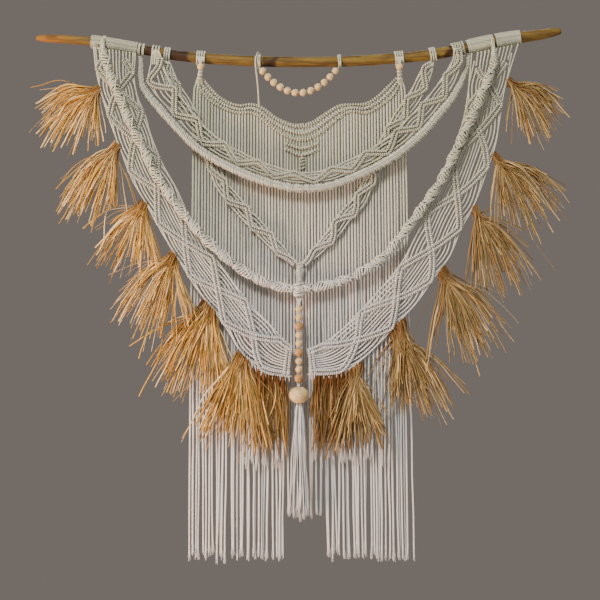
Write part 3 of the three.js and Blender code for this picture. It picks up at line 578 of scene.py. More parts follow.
class Threads:
    """Lines in millimetres, with the columns that a tree reads at each point."""

    vectors = ("forward", "front")
    yarns = 6

    def __init__(self, seed: int) -> None:
        """Starts an empty bundle.

        Args:
            seed: The seed of its own random numbers.
        """
        self.random = np.random.default_rng(seed)
        self.lines: list[np.ndarray] = []
        self.columns: dict[str, list[np.ndarray]] = {}

    def add(self, points: Sequence, **values: Any) -> None:
        """Adds one line.

        Args:
            points: Places along it.
            values: Columns, each a number or one for each point.
        """
        values = {"shade": self.random.random(), "girth": 1.0, "tilt": 0.0, **values}
        self.lines.append(np.asarray(points, float))
        for key, value in values.items():
            shape = (len(points), 3) if key in self.vectors else (len(points),)
            self.columns.setdefault(key, []).append(np.broadcast_to(value, shape))

    def wrap(self, route: Route, count: int, half: Number, deep: Number, lean: Number = 0.0,
             turn: Number = 0.0, start: float = 0.0, end: float = 1.0, edge: float = 0.0) -> None:
        """Adds a line that rings are laid round.

        Args:
            route: The way.
            count: How many points stand for it.
            half: Half the ring's width.
            deep: Half its depth.
            lean: How far it leans along the way, in radians.
            turn: How far it is turned about the way, in radians.
            start: Share of the way where it begins.
            end: Share of the way where it ends.
            edge: How much shade is painted on its sides, from 0 to 1.
        """
        shares = np.linspace(start, end, count)
        forward, front, _ = route.frames(shares)
        self.add(route.points(shares), half=np.multiply(half, MM), deep=np.multiply(deep, MM),
                 lean=lean, turn=turn, edge=edge, forward=forward, front=front)

    def frays(self, root: np.ndarray, level: float, shade: float) -> None:
        """Adds the untwisted yarns at a cord's end.

        Args:
            root: The end of the twisted part.
            level: The level that they reach.
            shade: The cord's shade.
        """
        for i in range(self.yarns):
            angle = math.tau * (i + self.random.random() * 0.6) / self.yarns
            spread = self.random.uniform(0.8, 3.2)
            way = np.array([math.cos(angle), math.sin(angle), 0])
            tip = np.array([*root[:2], level + self.random.uniform(0, 9)]) + spread * way * [1, 0.7, 0]
            middle = (tip + root) / 2 + 0.5 * spread * way * [1, 0, 0]
            self.add([root + 0.8 * way + 2.0 * UP, middle, tip], shade=shade, girth=[0.45, 0.4, 0.22])

    def host(self, name: str) -> Thing:
        """A mesh of edges that holds the lines and their columns, in metres.

        Args:
            name: The object's name.

        Returns:
            The object.
        """
        starts = np.cumsum([0] + [len(line) for line in self.lines])
        runs = [np.arange(start, start + len(line)) for start, line in zip(starts, self.lines)]
        pairs = np.concatenate([np.stack([run[:-1], run[1:]], 1) for run in runs])
        mesh = bpy.data.meshes.new(name)
        mesh.vertices.add(starts[-1])
        mesh.vertices.foreach_set("co", (np.concatenate(self.lines) * MM).astype(np.float32).ravel())
        mesh.edges.add(len(pairs))
        mesh.edges.foreach_set("vertices", pairs.astype(np.int32).ravel())
        for key, parts in self.columns.items():
            kind, field_name = ("FLOAT_VECTOR", "vector") if key in self.vectors else ("FLOAT", "value")
            layer = mesh.attributes.new(key, kind, "POINT")
            layer.data.foreach_set(field_name, np.concatenate(parts).astype(np.float32).ravel())
        mesh.update()
        return put(name, mesh)


def join(name: str, parts: Sequence[Thing]) -> Thing:
    """Joins objects into one.

    Args:
        name: The whole's name.
        parts: The objects.

    Returns:
        The whole.
    """
    whole = parts[0]
    if len(parts) > 1:
        with bpy.context.temp_override(active_object=whole, selected_editable_objects=list(parts)):
            bpy.ops.object.join()
    whole.name = name
    whole.data.name = name
    return whole


# Finishes


@dataclass(frozen=True)
class Finish:
    """A finish that becomes a node material."""

    title: str

    def dress(self, nodes: Nodes) -> dict:
        """Values and flows for the shader's sockets."""
        raise NotImplementedError

    def material(self) -> bpy.types.Material:
        """Makes the node material.

        Returns:
            The material.
        """
        material = bpy.data.materials.new(self.title)
        material.use_nodes = True
        nodes = Nodes(material.node_tree)
        nodes.set(material.node_tree.nodes["Principled BSDF"], self.dress(nodes))
        return material


@dataclass(frozen=True)
class CottonFinish(Finish):
    """Twisted cotton cord, yellower at the top, with painted shade in its ply grooves and between cords."""

    title: str = "cotton_cord"
    upper: tuple = (0.57, 0.57, 0.385)
    lower: tuple = (0.83, 0.805, 0.775)
    # Painted shade colour for the ply grooves and between cords; it also darkens the fibres.
    painted_shade_and_fibre_dark: tuple = (0.055, 0.042, 0.026)
    blush: tuple = (0.76, 0.57, 0.43)
    plies: float = 3.0
    pitch: float = 0.012
    relief: float = 0.0009
    # Strength of the painted shade between neighbouring cords.
    crease: float = 0.92
    upper_level: float = -0.12
    lower_level: float = -0.62

    def dress(self, nodes: Nodes) -> dict:
        """Paints shade into the grooves between the plies and between neighbouring cords.

        Args:
            nodes: The material's nodes.

        Returns:
            Values and flows for the shader's sockets.
        """
        along, around = nodes.lengthwise()
        shade, place = nodes.stored("shade"), nodes.place()
        twist = (along / self.pitch + around) * self.plies * math.pi
        ply = twist.maths("SINE", twist).size().power(0.6)
        fibre = nodes.noise(nodes.vector(along * 260.0 + around * 8.0, around * 26.0, shade * 50.0))
        height = nodes.part(place, "Z").between(self.upper_level, self.lower_level)
        tone = nodes.mix(height, self.upper, self.lower)
        tone = nodes.mix(nodes.noise(place, 7.0, 2.0).between(0.5, 0.75) * 0.22, tone, self.blush)
        tone = nodes.mix(shade * 0.3, tone, self.lower)
        # Painted shade in the ply grooves and between cords; the fibre noise darkens the fibres.
        painted_crease_darkening = nodes.stored("crease").between(0.38, 0.98) * self.crease
        for dark in ((1.0 - ply) * 0.38, painted_crease_darkening, (fibre - 0.42) * 0.35):
            tone = nodes.mix(dark, tone, self.painted_shade_and_fibre_dark)
        return {"Base Color": tone, "Roughness": 0.93, "Sheen Weight": 0.25, "Sheen Roughness": 0.5,
                "Specular IOR Level": 0.2, "Normal": nodes.bump(ply + fibre * 0.25, 0.8, self.relief)}


@dataclass(frozen=True)
class RaffiaFinish(Finish):
    """Dry split raffia, golden on the left and browner on the right."""

    title: str = "raffia"
    straw: tuple = (0.88, 0.64, 0.31)
    golden: tuple = (0.56, 0.31, 0.06)
    brown: tuple = (0.225, 0.155, 0.06)
    root: tuple = (0.17, 0.07, 0.014)
    root_length: float = 0.05
    turn_from: float = -0.19
    turn_to: float = 0.10

    def dress(self, nodes: Nodes) -> dict:
        """Streaks the ribbons and darkens their roots.

        Args:
            nodes: The material's nodes.

        Returns:
            Values and flows for the shader's sockets.
        """
        along, around = nodes.lengthwise()
        shade = nodes.stored("shade")
        side = nodes.part(nodes.place(), "X").between(self.turn_from, self.turn_to)
        streak = nodes.noise(nodes.vector(along * 16.0, around * 9.0, shade * 70.0), 1.0, 4.0)
        tone = nodes.mix(side * 0.85, self.golden, self.brown)
        pale = shade.between(0.55, 1.0) * 0.85 + (streak - 0.5) * 0.8
        tone = nodes.mix(pale * (1.0 - side * 0.45), tone, self.straw)
        dark = (1.0 - along.between(0.0, self.root_length)) * 0.7 + (1.0 - shade.between(0.0, 0.45)) * 0.62
        return {"Base Color": nodes.mix(dark, tone, self.root), "Roughness": 0.7,
                "Normal": nodes.bump(streak, 0.6, 0.0005), "Specular IOR Level": 0.25}


@dataclass(frozen=True)
class BranchFinish(Finish):
    """A peeled branch, golden brown with patches of dark bark."""

    title: str = "branch_wood"
    gold: tuple = (0.21, 0.13, 0.022)
    brown: tuple = (0.085, 0.045, 0.008)
    peeled: tuple = (0.27, 0.105, 0.008)
    bark: tuple = (0.020, 0.006, 0.001)
    patches: tuple = ((-0.310, -0.288), (-0.268, -0.209), (-0.078, -0.038), (0.296, 0.318))
    edge: float = 0.008

    def dress(self, nodes: Nodes) -> dict:
        """Lays grain and bark along the branch.

        Args:
            nodes: The material's nodes.

        Returns:
            Values and flows for the shader's sockets.
        """
        place = nodes.place()
        grain = nodes.noise(nodes.stretched(place, 5.0, 55.0, 55.0), 2.4, 7.0, Roughness=0.62)
        patch = nodes.noise(nodes.stretched(place, 9.0, 26.0, 26.0), 1.3, 4.0, Distortion=0.6)
        tone = nodes.mix(grain.between(0.36, 0.66), self.brown, self.gold)
        x = nodes.part(place, "X") + (patch - 0.5) * 0.05
        peel = (1.0 - x.between(-0.50, -0.41)) * grain.between(0.3, 0.55)
        tone = nodes.mix(peel * 0.85, tone, self.peeled)
        inside = sum((x.between(low, low + self.edge) * (1.0 - x.between(high - self.edge, high))
                      for low, high in self.patches), 0.0)
        dark = inside * patch.between(0.3, 0.5) + patch.between(0.68, 0.76) * 0.5
        return {"Base Color": nodes.mix(dark * 0.9, tone, self.bark), "Roughness": 0.5 + grain * 0.3,
                "Normal": nodes.bump(grain * 0.6 - dark * 0.5, 0.7, 0.0012), "Specular IOR Level": 0.25}


@dataclass(frozen=True)
class BeadFinish(Finish):
    """Turned wooden beads."""

    pale: tuple
    grain: tuple

    def dress(self, nodes: Nodes) -> dict:
        """Lays fine grain on the beads.

        Args:
            nodes: The material's nodes.

        Returns:
            Values and flows for the shader's sockets.
        """
        place = nodes.place()
        rings = nodes.noise(nodes.stretched(place, 180.0, 60.0, 300.0))
        spots = rings.between(0.4, 0.68) * 0.6 + nodes.noise(place, 40.0, 1.0) * 0.25
        return {"Base Color": nodes.mix(spots, self.pale, self.grain), "Roughness": 0.5,
                "Normal": nodes.bump(rings, 0.35, 0.0004), "Coat Weight": 0.12, "Coat Roughness": 0.35}


class Workshop:
    """The trees and the finishes that the pieces share."""

    def __init__(self) -> None:
        """Makes them."""
        self.cord_tree, self.ring_tree, self.bead_tree = CordTree(), WrapTree(), BeadTree()
        self.cotton = CottonFinish().material()
        self.raffia = RaffiaFinish().material()
        self.wood = BranchFinish().material()
        self.beads = {
            Slot.LIGHT_BEAD: BeadFinish("light_bead", (0.71, 0.51, 0.24), (0.47, 0.29, 0.10)).material(),
            Slot.BROWN_BEAD: BeadFinish("brown_bead", (0.44, 0.24, 0.09), (0.25, 0.12, 0.035)).material(),
        }

    def cords(self, threads: Threads, radius: float, step: float, sides: int = 7, **more: float) -> Thing:
        """Cotton cords along threads, with their radius and step in millimetres."""
        return self.cord_tree.run("cords", threads, self.cotton, radius=radius * MM, step=step * MM,
                                  sides=sides, **more)

    def rings(self, threads: Threads, radius: float, step: float, points: int, sides: int = 6,
              jitter: float = 0.1) -> Thing:
        """Rings of cotton cord round threads, with the cord's radius and step in millimetres."""
        return self.ring_tree.run("rings", threads, self.cotton, radius=radius * MM, step=step * MM,
                                  sides=sides, ring_points=points, jitter=jitter)

    def loops(self, seed: int, spans: Sequence, lift: float, radius: float, step: float) -> Thing:
        """Loops of cotton cord round the branch."""
        return self.rings(ring_rows(Threads(seed), spans, lift), radius, step, points=24, jitter=0.02)

    def place(self, slot: Slot, name: str, parts: Sequence[Thing], *nodes: str) -> Thing:
        """Joins a piece, hangs it under the body's empty and hides the nodes that it stands for.

        Args:
            slot: Not used.
            name: The piece's name.
            parts: Its parts.
            nodes: Nodes that it stands for.

        Returns:
            The piece.
        """
        piece = join(name, parts)
        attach(piece, BODY)
        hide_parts(*nodes)
        log.info("%s: %d triangles", name, sum(len(face.vertices) - 2 for face in piece.data.polygons))
        return piece


# The branch


BRANCH = Route(columns("x z r", [
    (-524, 48, 6), (-501, 47, 7.5), (-415, 41, 9), (-323, 26, 9.2), (-237, 12, 10.2), (-121, 3, 10.5),
    (0, 0, 10.5), (109, 2, 10.5), (239, 11, 10.5), (291, 19, 11), (393, 41, 11.3), (479, 54, 10.5),
    (524, 62, 8.5),
]))


def branch_at(x: float) -> tuple[float, float]:
    """The level of the branch's axis and its radius at a place."""
    row = BRANCH.at(BRANCH.find("x", x))
    return float(row["z"][0]), float(row["r"][0])


def ring_rows(threads: Threads, spans: Sequence[tuple], lift: float, lean: float = 0.05) -> Threads:
    """Lays lines for rings round the branch.

    Args:
        threads: Where they go.
        spans: From and to, along X.
        lift: The gap from the wood to the middle of the cord.
        lean: The rings' lean, in radians.

    Returns:
        The threads.
    """
    for low, high in spans:
        start, end = BRANCH.find("x", low), BRANCH.find("x", high)
        count = max(3, int((high - low) / 6))
        radius = BRANCH.at(np.linspace(start, end, count))["r"] + lift
        threads.wrap(BRANCH, count, radius, radius, lean, start=start, end=end)
    return threads


@dataclass
class Branch:
    """The branch that everything hangs on."""

    rings: int = 260
    sides: int = 36
    lumps: float = 0.55
    knots: tuple = (
        (-262, 1.2, 9), (-150, 0.4, 12), (-64, 2.2, 8), (150, 4.0, 10), (330, 5.2, 11), (452, 1.9, 9),
    )
    knot_rise: float = 1.1

    def skin(self) -> np.ndarray:
        """Works out the bark.

        Returns:
            Places on it, as rings by sides by three.
        """
        shares = np.linspace(0, 1, self.rings)
        row = BRANCH.at(shares)
        _, front, across = BRANCH.frames(shares)
        angles = np.arange(self.sides) * math.tau / self.sides
        x = row["x"][:, None]
        bumps = np.sin(x * 0.041 + 2 * angles) + 0.6 * np.sin(x * 0.093 - 3 * angles + 1)
        bumps = bumps + 0.4 * np.sin(x * 0.19 + 5 * angles)
        radius = row["r"][:, None] + self.lumps * (0.4 * bumps - 0.5)
        for at, angle, reach in self.knots:
            chord = 2 * np.sin((angles - angle) / 2)
            radius += self.knot_rise * np.exp(-((x - at) / reach) ** 2 - chord ** 2 * 3)
        end = np.clip(np.minimum(shares, 1 - shares) * self.rings / 5, 0, 1)[:, None]
        radius *= 0.72 + 0.28 * np.sqrt(end)
        cosine, sine = np.cos(angles)[None, :, None], np.sin(angles)[None, :, None]
        around = cosine * front[:, None] - sine * across[:, None]
        return BRANCH.points(shares)[:, None] + radius[..., None] * around

    def build(self, shop: Workshop) -> None:
        """Makes the branch.

        Args:
            shop: Trees and finishes.
        """
        rings = self.skin()
        places = np.concatenate([rings.reshape(-1, 3), rings[0].mean(0)[None], rings[-1].mean(0)[None]]) * MM
        i, j = np.meshgrid(np.arange(self.rings - 1), np.arange(self.sides), indexing="ij")
        start, turned = i * self.sides, (j + 1) % self.sides
        quads = np.stack([start + j, start + turned, start + self.sides + turned, start + self.sides + j], -1)
        faces = quads.reshape(-1, 4).tolist()
        first, last = self.rings * self.sides, self.rings * self.sides + 1
        for j in range(self.sides):
            k = (j + 1) % self.sides
            faces += [[first, k, j], [last, first - self.sides + j, first - self.sides + k]]
        mesh = bpy.data.meshes.new("branch_stick")
        mesh.from_pydata(places.tolist(), [], faces)
        mesh.materials.append(shop.wood)
        mesh.shade_smooth()
        mesh.update()
        shop.place(Slot.WOOD, "branch_stick", [put("branch_stick", mesh)], "branch")


# The curtain


HEADING_TABLE = columns("x z half", [
    (-198, -34, 8), (-186, -54, 12), (-166, -74, 11), (-141, -88, 10), (-118, -94, 10), (-96, -92, 11),
    (-78, -98, 12), (-50, -120, 13), (-19, -136, 16), (7, -141, 19), (33, -133, 17), (62, -112, 15),
    (86, -96, 13), (109, -91, 9), (135, -92, 12), (160, -79, 12), (182, -60, 13), (200, -36, 8),
])


@dataclass
class Curtain:
    """The curtain of cords with its scalloped heading, on two looped corners."""

    depth: float = 6.0
    strands: int = 71
    radius: float = 2.6
    top: tuple = (-209.0, 213.0)
    hem: tuple = (-221.0, 229.0)
    corner: tuple = (-195.0, 201.0)
    neck_level: float = -30.0
    level: float = -996.0
    notch: tuple = (-22.0, 44.0)
    notch_level: float = -911.0
    fray: float = 24.0
    support: float = -86.0
    middle: float = 7.0
    new_bunch: float = 0.38
    sway: float = 3.4

    def heading(self, lane: float, lift: float) -> Route:
        """A line along the heading.

        Args:
            lane: From -1, its lower edge, to 1, its upper edge.
            lift: Millimetres towards the viewer.

        Returns:
            The route.
        """
        middle = Route(HEADING_TABLE)
        shares = np.linspace(0, 1, 70)
        aside = (middle.at(shares)["half"] * lane)[:, None]
        points = middle.points(shares) - middle.frames(shares)[2] * aside
        points[:, 1] = self.depth - lift
        return through(points)

    def cords(self) -> Threads:
        """Lays the hanging cords, each frayed at its end.

        Returns:
            The cords.
        """
        threads = Threads(11)
        random = threads.random
        count = 14
        marks = np.linspace(0, 1, count)
        tops, hems = np.linspace(*self.top, self.strands), np.linspace(*self.hem, self.strands)
        bunch = np.cumsum(random.random(self.strands) < self.new_bunch)
        leans = random.normal(0, self.sway, self.strands)[bunch]
        for x, hem, lean in zip(tops, hems, leans):
            notched = self.notch[0] < hem < self.notch[1]
            level = (self.notch_level if notched else self.level) + random.uniform(-7, 7) + 0.8 * lean
            start = np.interp(x, HEADING_TABLE["x"], HEADING_TABLE["z"] + 0.5 * HEADING_TABLE["half"])
            hem += random.normal(0, 0.5) + lean
            drop = level + self.fray - start
            points = np.stack([x + (hem - x) * marks, np.full(count, self.depth), start + drop * marks], 1)
            points[1:-1, 0] += random.normal(0, 0.35, count - 2) + lean * (marks ** 3 - marks)[1:-1]
            points[1:, 1] += np.cumsum(random.normal(0, 0.45, count - 1))
            points[7:, 0] += np.cumsum(random.normal(0, 0.5, 7))
            if x < self.corner[0] - 3 or x > self.corner[1] + 3:
                corner = self.corner[0 if x < 0 else 1]
                points[0] = [corner + 0.4 * (x - corner), 0, self.neck_level]
                points = np.insert(points, 1, [x, self.depth - 1, -58 + random.uniform(-6, 6)], axis=0)
            shade = random.random()
            threads.add(points, shade=shade, girth=[random.uniform(0.86, 1.14)] * (len(points) - 1) + [0.9])
            threads.frays(points[-1], level, shade)
        return threads

    def build(self, shop: Workshop) -> None:
        """Makes the curtain.

        Args:
            shop: Trees and finishes.
        """
        cords = self.cords()
        ridge = Threads(12)
        half = np.interp(np.linspace(0, 1, 90), np.linspace(0, 1, 18), HEADING_TABLE["half"])
        for lane, lean in ((0.72, 0.12), (0.0, 0.5), (-0.72, -0.3)):
            ridge.wrap(self.heading(lane, 2.6), 90, np.maximum(half * 0.27 - 1.7, 0.8), 2.6, lean, edge=1.0)
        self.motif(ridge)
        self.corners(cords, ridge)
        parts = [
            shop.cords(cords, self.radius, step=12.5), shop.rings(ridge, radius=2.0, step=5.2, points=9),
            shop.loops(13, [(-202, -188), (194, 208)], lift=2.3, radius=1.9, step=4.2),
        ]
        whole = shop.place(Slot.COTTON, "curtain_cloth", parts, "curtain")
        places = [[x, -11.0, -11.0] for x in self.corner]
        string_beads(shop, "corner_beads", LIGHT, places, [UP, UP], ["corner_bead_l", "corner_bead_r"])

    def motif(self, ridge: Threads) -> None:
        """Lays the chevrons of knots under the middle scallop, with a short sinnet.

        Args:
            ridge: Where they go.
        """
        x, depth = self.middle, self.depth - 4
        for top, tip, reach in ((-163.0, -172.5, 30.0), (-174.0, -187.0, 32.0)):
            for side in (-1, 1):
                bend = [x + side * 13, depth, (top + tip) / 2 - 2]
                line = through([[x + side * reach, depth, top], bend, [x, depth, tip]])
                ridge.wrap(line, 12, 1.6, 2.8, 0.45 * side, edge=1.0)
        ridge.wrap(through([[x + 1, depth, -192], [x + 2, depth, -212]]), 10, 3.2, 2.8, 0.4, edge=1.0)

    def corners(self, cords: Threads, ridge: Threads) -> None:
        """Lays the cords from the branch through a bead to each end of the heading, and the support.

        Args:
            cords: Where they go.
            ridge: Where the knots under the beads go.
        """
        for x, spread in zip(self.corner, (-6.0, 6.0)):
            level, radius = branch_at(x)
            for lane in np.linspace(-1, 1, 6):
                cords.add(smooth([
                    [x + 5.5 * lane, -radius - 2.2, level + 1], [x + 1.2 * lane, -11, -3],
                    [x + 1.0 * lane, -11, -11], [x + 2.6 * lane, -10.5, -19.5],
                    [x + spread / 4 + 3.8 * lane, -5, -30],
                    [x + spread * 0.5 + 4.5 * lane, self.depth - 1, -44],
                ], 16), girth=0.8)
            ridge.wrap(through([[x, -10, -20], [x + spread / 4, -5, -33]]), 6, 3.4, 3.0, 0.1)
        x = self.support
        level, radius = branch_at(x)
        cords.add(smooth([
            [x + 7, self.depth - 3, -86], [x + 4, -5, -40], [x, -radius - 2, level - 8],
            [x + 0.5, -radius - 2, level + 4], [x + 2, -radius + 1, level + 14], [x + 5, -3, level + 18],
            [x + 9, 1, level + 15], [x + 10, 3, level + 11],
        ], 24), girth=0.8)


# The beads


@dataclass(frozen=True)
class Bead:
    """A turned bead: slot, outer radius, half height along the bore, and bore."""

    slot: Slot
    radius: float
    half: float
    bore: float = 2.7
    sides: int = 24
    steps: int = 12

    def master(self) -> Thing:
        """Makes one bead at the origin, its bore along Z.

        Returns:
            The bead.
        """
        edge = math.asin(math.sqrt(1 - (self.bore / self.radius) ** 2))
        turn = np.linspace(-edge, edge, self.steps + 1)
        rim = self.half * math.sin(edge)
        wide = np.append(self.radius * np.cos(turn), [self.bore, self.bore])
        tall = np.append(self.half * np.sin(turn), np.linspace(rim, -rim, 4)[1:-1])
        angles = np.arange(self.sides) * math.tau / self.sides
        points = np.stack([np.outer(wide, np.cos(angles)), np.outer(wide, np.sin(angles)),
                           np.repeat(tall[:, None], self.sides, 1)], -1).reshape(-1, 3)
        faces = []
        for i in range(len(wide)):
            for j in range(self.sides):
                a, b = i * self.sides + j, i * self.sides + (j + 1) % self.sides
                faces.append([a, b, (b + self.sides) % len(points), (a + self.sides) % len(points)])
        mesh = bpy.data.meshes.new("bead")
        mesh.from_pydata((points * MM).tolist(), [], faces)
        return put("bead", mesh)


LIGHT = Bead(Slot.LIGHT_BEAD, 7.3, 7.3)
BROWN = Bead(Slot.BROWN_BEAD, 9.4, 9.4)
BIG = Bead(Slot.LIGHT_BEAD, 20.0, 17.0)


def string_beads(shop: Workshop, name: str, bead: Bead, places: Sequence, axes: Sequence,
                 nodes: Sequence[str]) -> None:
    """Sets beads on places.

    Args:
        shop: Trees and finishes.
        name: The piece's name.
        bead: The bead.
        places: Middles.
        axes: Directions of the bores.
        nodes: The nodes that they stand for.
    """
    master = bead.master()
    threads = Threads(3)
    for place, axis in zip(places, axes):
        threads.add([place], forward=axis)
    piece = shop.bead_tree.run(name, threads, shop.beads[bead.slot], bead=master, seed=len(places))
    bpy.data.objects.remove(master)
    shop.place(bead.slot, name, [piece], *nodes)


@dataclass
class Garland:
    """The small string of beads under the branch."""

    beads: int = 12
    middle: float = 1.0
    reach: float = 73.0
    rise: float = 44.0
    level: float = -63.0
    depth: float = -8.0
    ends: tuple = (-79.0, 82.0)
    lead: float = 10.0
    points: int = 25

    def build(self, shop: Workshop) -> None:
        """Makes the string and its beads.

        Args:
            shop: Trees and finishes.
        """
        along = np.linspace(-1, 1, self.points)
        arc = through(np.stack([self.middle + self.reach * along, np.full(self.points, self.depth),
                                self.level + self.rise * along ** 2], 1))
        ends = []
        for x, share, step in zip(self.ends, (0.0, 1.0), (-self.lead, self.lead)):
            level, radius = branch_at(x)
            reach = arc.points(share)[0] + arc.frames(share)[0][0] * step
            ends.append([np.array([x, -radius - 2, level - 2]), reach])
        cords = Threads(21)
        cords.add(smooth([*ends[0], *arc.points(np.linspace(0, 1, self.points)), *ends[1][::-1]], 60))
        spans = [(x - 1.8, x + 1.8) for x in self.ends]
        parts = [
            shop.cords(cords, radius=1.5, step=5, sides=8),
            shop.loops(22, spans, lift=2.0, radius=1.7, step=3.4),
        ]
        shop.place(Slot.COTTON, "garland_line", parts, "garland_cord")
        shares = 0.004 + 0.992 * np.linspace(0, 1, self.beads)
        names = [f"garland_bead_{i + 1:02d}" for i in range(self.beads)]
        string_beads(shop, "garland_beads", LIGHT, arc.points(shares), arc.frames(shares)[0], names)


# The wrapped roll, the knotted swag and the chevron bands


ROLL = Route(columns("x y z r", [
    (-318, 0, 14.5, 2.4), (-316, 0, 2, 6), (-313, -1, -44, 8), (-297, -7, -72, 9), (-281, -12, -90, 9.5),
    (-243, -16, -132, 9.5), (-205, -16, -170, 9.5), (-167, -16, -196, 9.5), (-121, -16, -219, 9.5),
    (-73, -16, -238, 9.5), (-27, -16, -250, 9.5), (7, -16, -254, 9.5), (57, -16, -250, 9.5),
    (109, -16, -232, 9.5), (159, -16, -209, 9.5), (203, -16, -182, 9.5), (253, -16, -138, 9.5),
    (277, -14, -110, 9.5), (303, -9, -78, 9), (325, -3, -40, 8), (337, 0, -8, 6), (340, 0, 16, 2.4),
]))


@dataclass
class WrappedRoll:
    """A thick roll, wound with cord on a slant, with lumps along its middle."""

    cord: float = 1.9
    pitch: float = 3.7
    lean: float = 0.5
    lump_from: float = -52.0
    lump_to: float = 108.0
    lump_pitch: float = 21.0
    count: int = 420

    def build(self, shop: Workshop) -> None:
        """Makes the roll.

        Args:
            shop: Trees and finishes.
        """
        shares = np.linspace(0, 1, self.count)
        row = ROLL.at(shares)
        ends = [self.lump_from - 15, self.lump_from, self.lump_to, self.lump_to + 15]
        lump = np.abs(np.sin(shares * ROLL.length / self.lump_pitch * math.pi)) ** 0.5
        waist = np.interp(row["x"], ends, [0, 1, 1, 0]) * 3.0 * (1 - lump)
        radius = np.maximum(row["r"] - self.cord + 0.4 - waist, 1.2)
        wraps = Threads(31)
        wraps.wrap(ROLL, self.count, radius, radius, self.lean, edge=1.0)
        core = Threads(32)
        core_shares = np.linspace(0.01, 0.99, 80)
        core.add(ROLL.points(core_shares), girth=np.interp(core_shares, shares, radius) / 7.0)
        loops = [(-319, -317), (-311, -309), (338.5, 341.5)]
        parts = [
            shop.rings(wraps, self.cord, self.pitch, points=16, sides=5, jitter=0.07),
            shop.cords(core, radius=6.4, step=12, sides=14),
            shop.loops(33, loops, lift=2.2, radius=1.5, step=3.6),
        ]
        shop.place(Slot.COTTON, "roll_bundle", parts, "wrapped_roll")


class KnottedBand:
    """A flat band of cords, with double rows of knots that run from edge to edge.

    The middle is a route with half the width as hx and hz, and with n, which
    rises by one from each turn of a row of knots to the next.
    """

    middle: Route
    inset: float = 2.0
    row_inset: float = 5.5
    row_gap: float = 3.8
    knot: float = 1.6

    def place(self, n: np.ndarray, lane: Number, lift: float = 0.0,
              inset: Optional[float] = None) -> np.ndarray:
        """Places on the band.

        Args:
            n: Values of n.
            lane: From -1, the outer or lower edge, to 1.
            lift: Millimetres towards the viewer.
            inset: Millimetres kept free at the edges.

        Returns:
            The places.
        """
        shares = np.linspace(0, 1, 400)
        row = self.middle.at(np.interp(n, self.middle.at(shares)["n"], shares))
        kept = self.inset if inset is None else inset
        side = lane * np.maximum(1 - kept / np.hypot(row["hx"], row["hz"]), 0.1)
        return np.stack([row["x"] + row["hx"] * side, row["y"] - lift, row["z"] + row["hz"] * side], 1)

    def knots(self, bars: Threads, n: np.ndarray, lane: Number, lift: float, lean: float) -> None:
        """Lays a double row of knots.

        Args:
            bars: Where it goes.
            n: Values of n along it.
            lane: Its lane at each.
            lift: Millimetres towards the viewer.
            lean: The knots' lean, in radians.
        """
        line = through(self.place(n, lane, lift, self.row_inset))
        shares = np.linspace(0, 1, len(n))
        across = line.frames(shares)[2]
        for aside in (-self.row_gap, self.row_gap):
            bars.wrap(through(line.points(shares) + across * aside), len(n), self.knot, 2.4, lean, edge=1.0)

    def fan(self, cords: Threads, n: float, tip: float, base: float, reach: float, count: int) -> None:
        """Adds nested cords in a triangle between two rows of knots.

        Args:
            cords: Where they go.
            n: The middle of its base.
            tip: The lane of its tip.
            base: The lane of its base.
            reach: Half its base, as a difference of n.
            count: How many cords.
        """
        marks = np.linspace(0, 1, 12)
        for ring in np.linspace(0.25, 1.0, count):
            arch = ring * (0.84 + 0.16 * np.sin(math.pi * marks)) + cords.random.normal(0, 0.012)
            lift = 0.8 + cords.random.uniform(-0.5, 0.5)
            cords.add(self.place(n + reach * ring * (2 * marks - 1), tip + (base - tip) * arch, lift))


@dataclass
class ZigzagBand(KnottedBand):
    """A narrow band with one double row of knots that turns at both edges."""

    name: str
    node: str
    middle: Route
    heads: tuple
    seed: int
    start: float = 0.2
    inset: float = 1.5
    row_inset: float = 3.5
    row_gap: float = 3.5
    knot: float = 1.4

    def build(self, shop: Workshop) -> None:
        """Makes the band.

        Args:
            shop: Trees and finishes.
        """
        last = float(self.middle.table["n"][-1])
        cords, bars = Threads(self.seed), Threads(self.seed + 1)
        n = np.linspace(self.start, last - 0.05, 60 * int(last))
        self.knots(bars, n, 0.75 * zigzag(n) + 0.25 * np.sin(math.pi * n), 3.8, 0.42)
        for i in range(-1, int(last) + 1):
            tip = 1.0 if i % 2 == 0 else -1.0
            middle = i + 0.5
            if self.start < middle < last:
                reach = min(0.93, last - i - 0.52, middle - self.start + 0.15)
                self.fan(cords, middle, tip, -tip, reach, 4)
        along = np.linspace(0.0, last, 30 * int(last))
        for side in (-1, 1):
            cords.add(self.place(along, side + cords.random.normal(0, 0.01), 0.3))
        for lane in np.linspace(-0.7, 0.7, 5):
            cords.add(self.place(np.linspace(0.0, self.start + 0.25, 10), lane))
        parts = [
            shop.cords(cords, radius=1.75, step=9, wobble=0.0004),
            shop.rings(bars, radius=1.75, step=4.2, points=8),
            shop.loops(self.seed + 2, self.heads, lift=2.3, radius=1.9, step=4.2),
        ]
        shop.place(Slot.COTTON, self.name, parts, self.node)


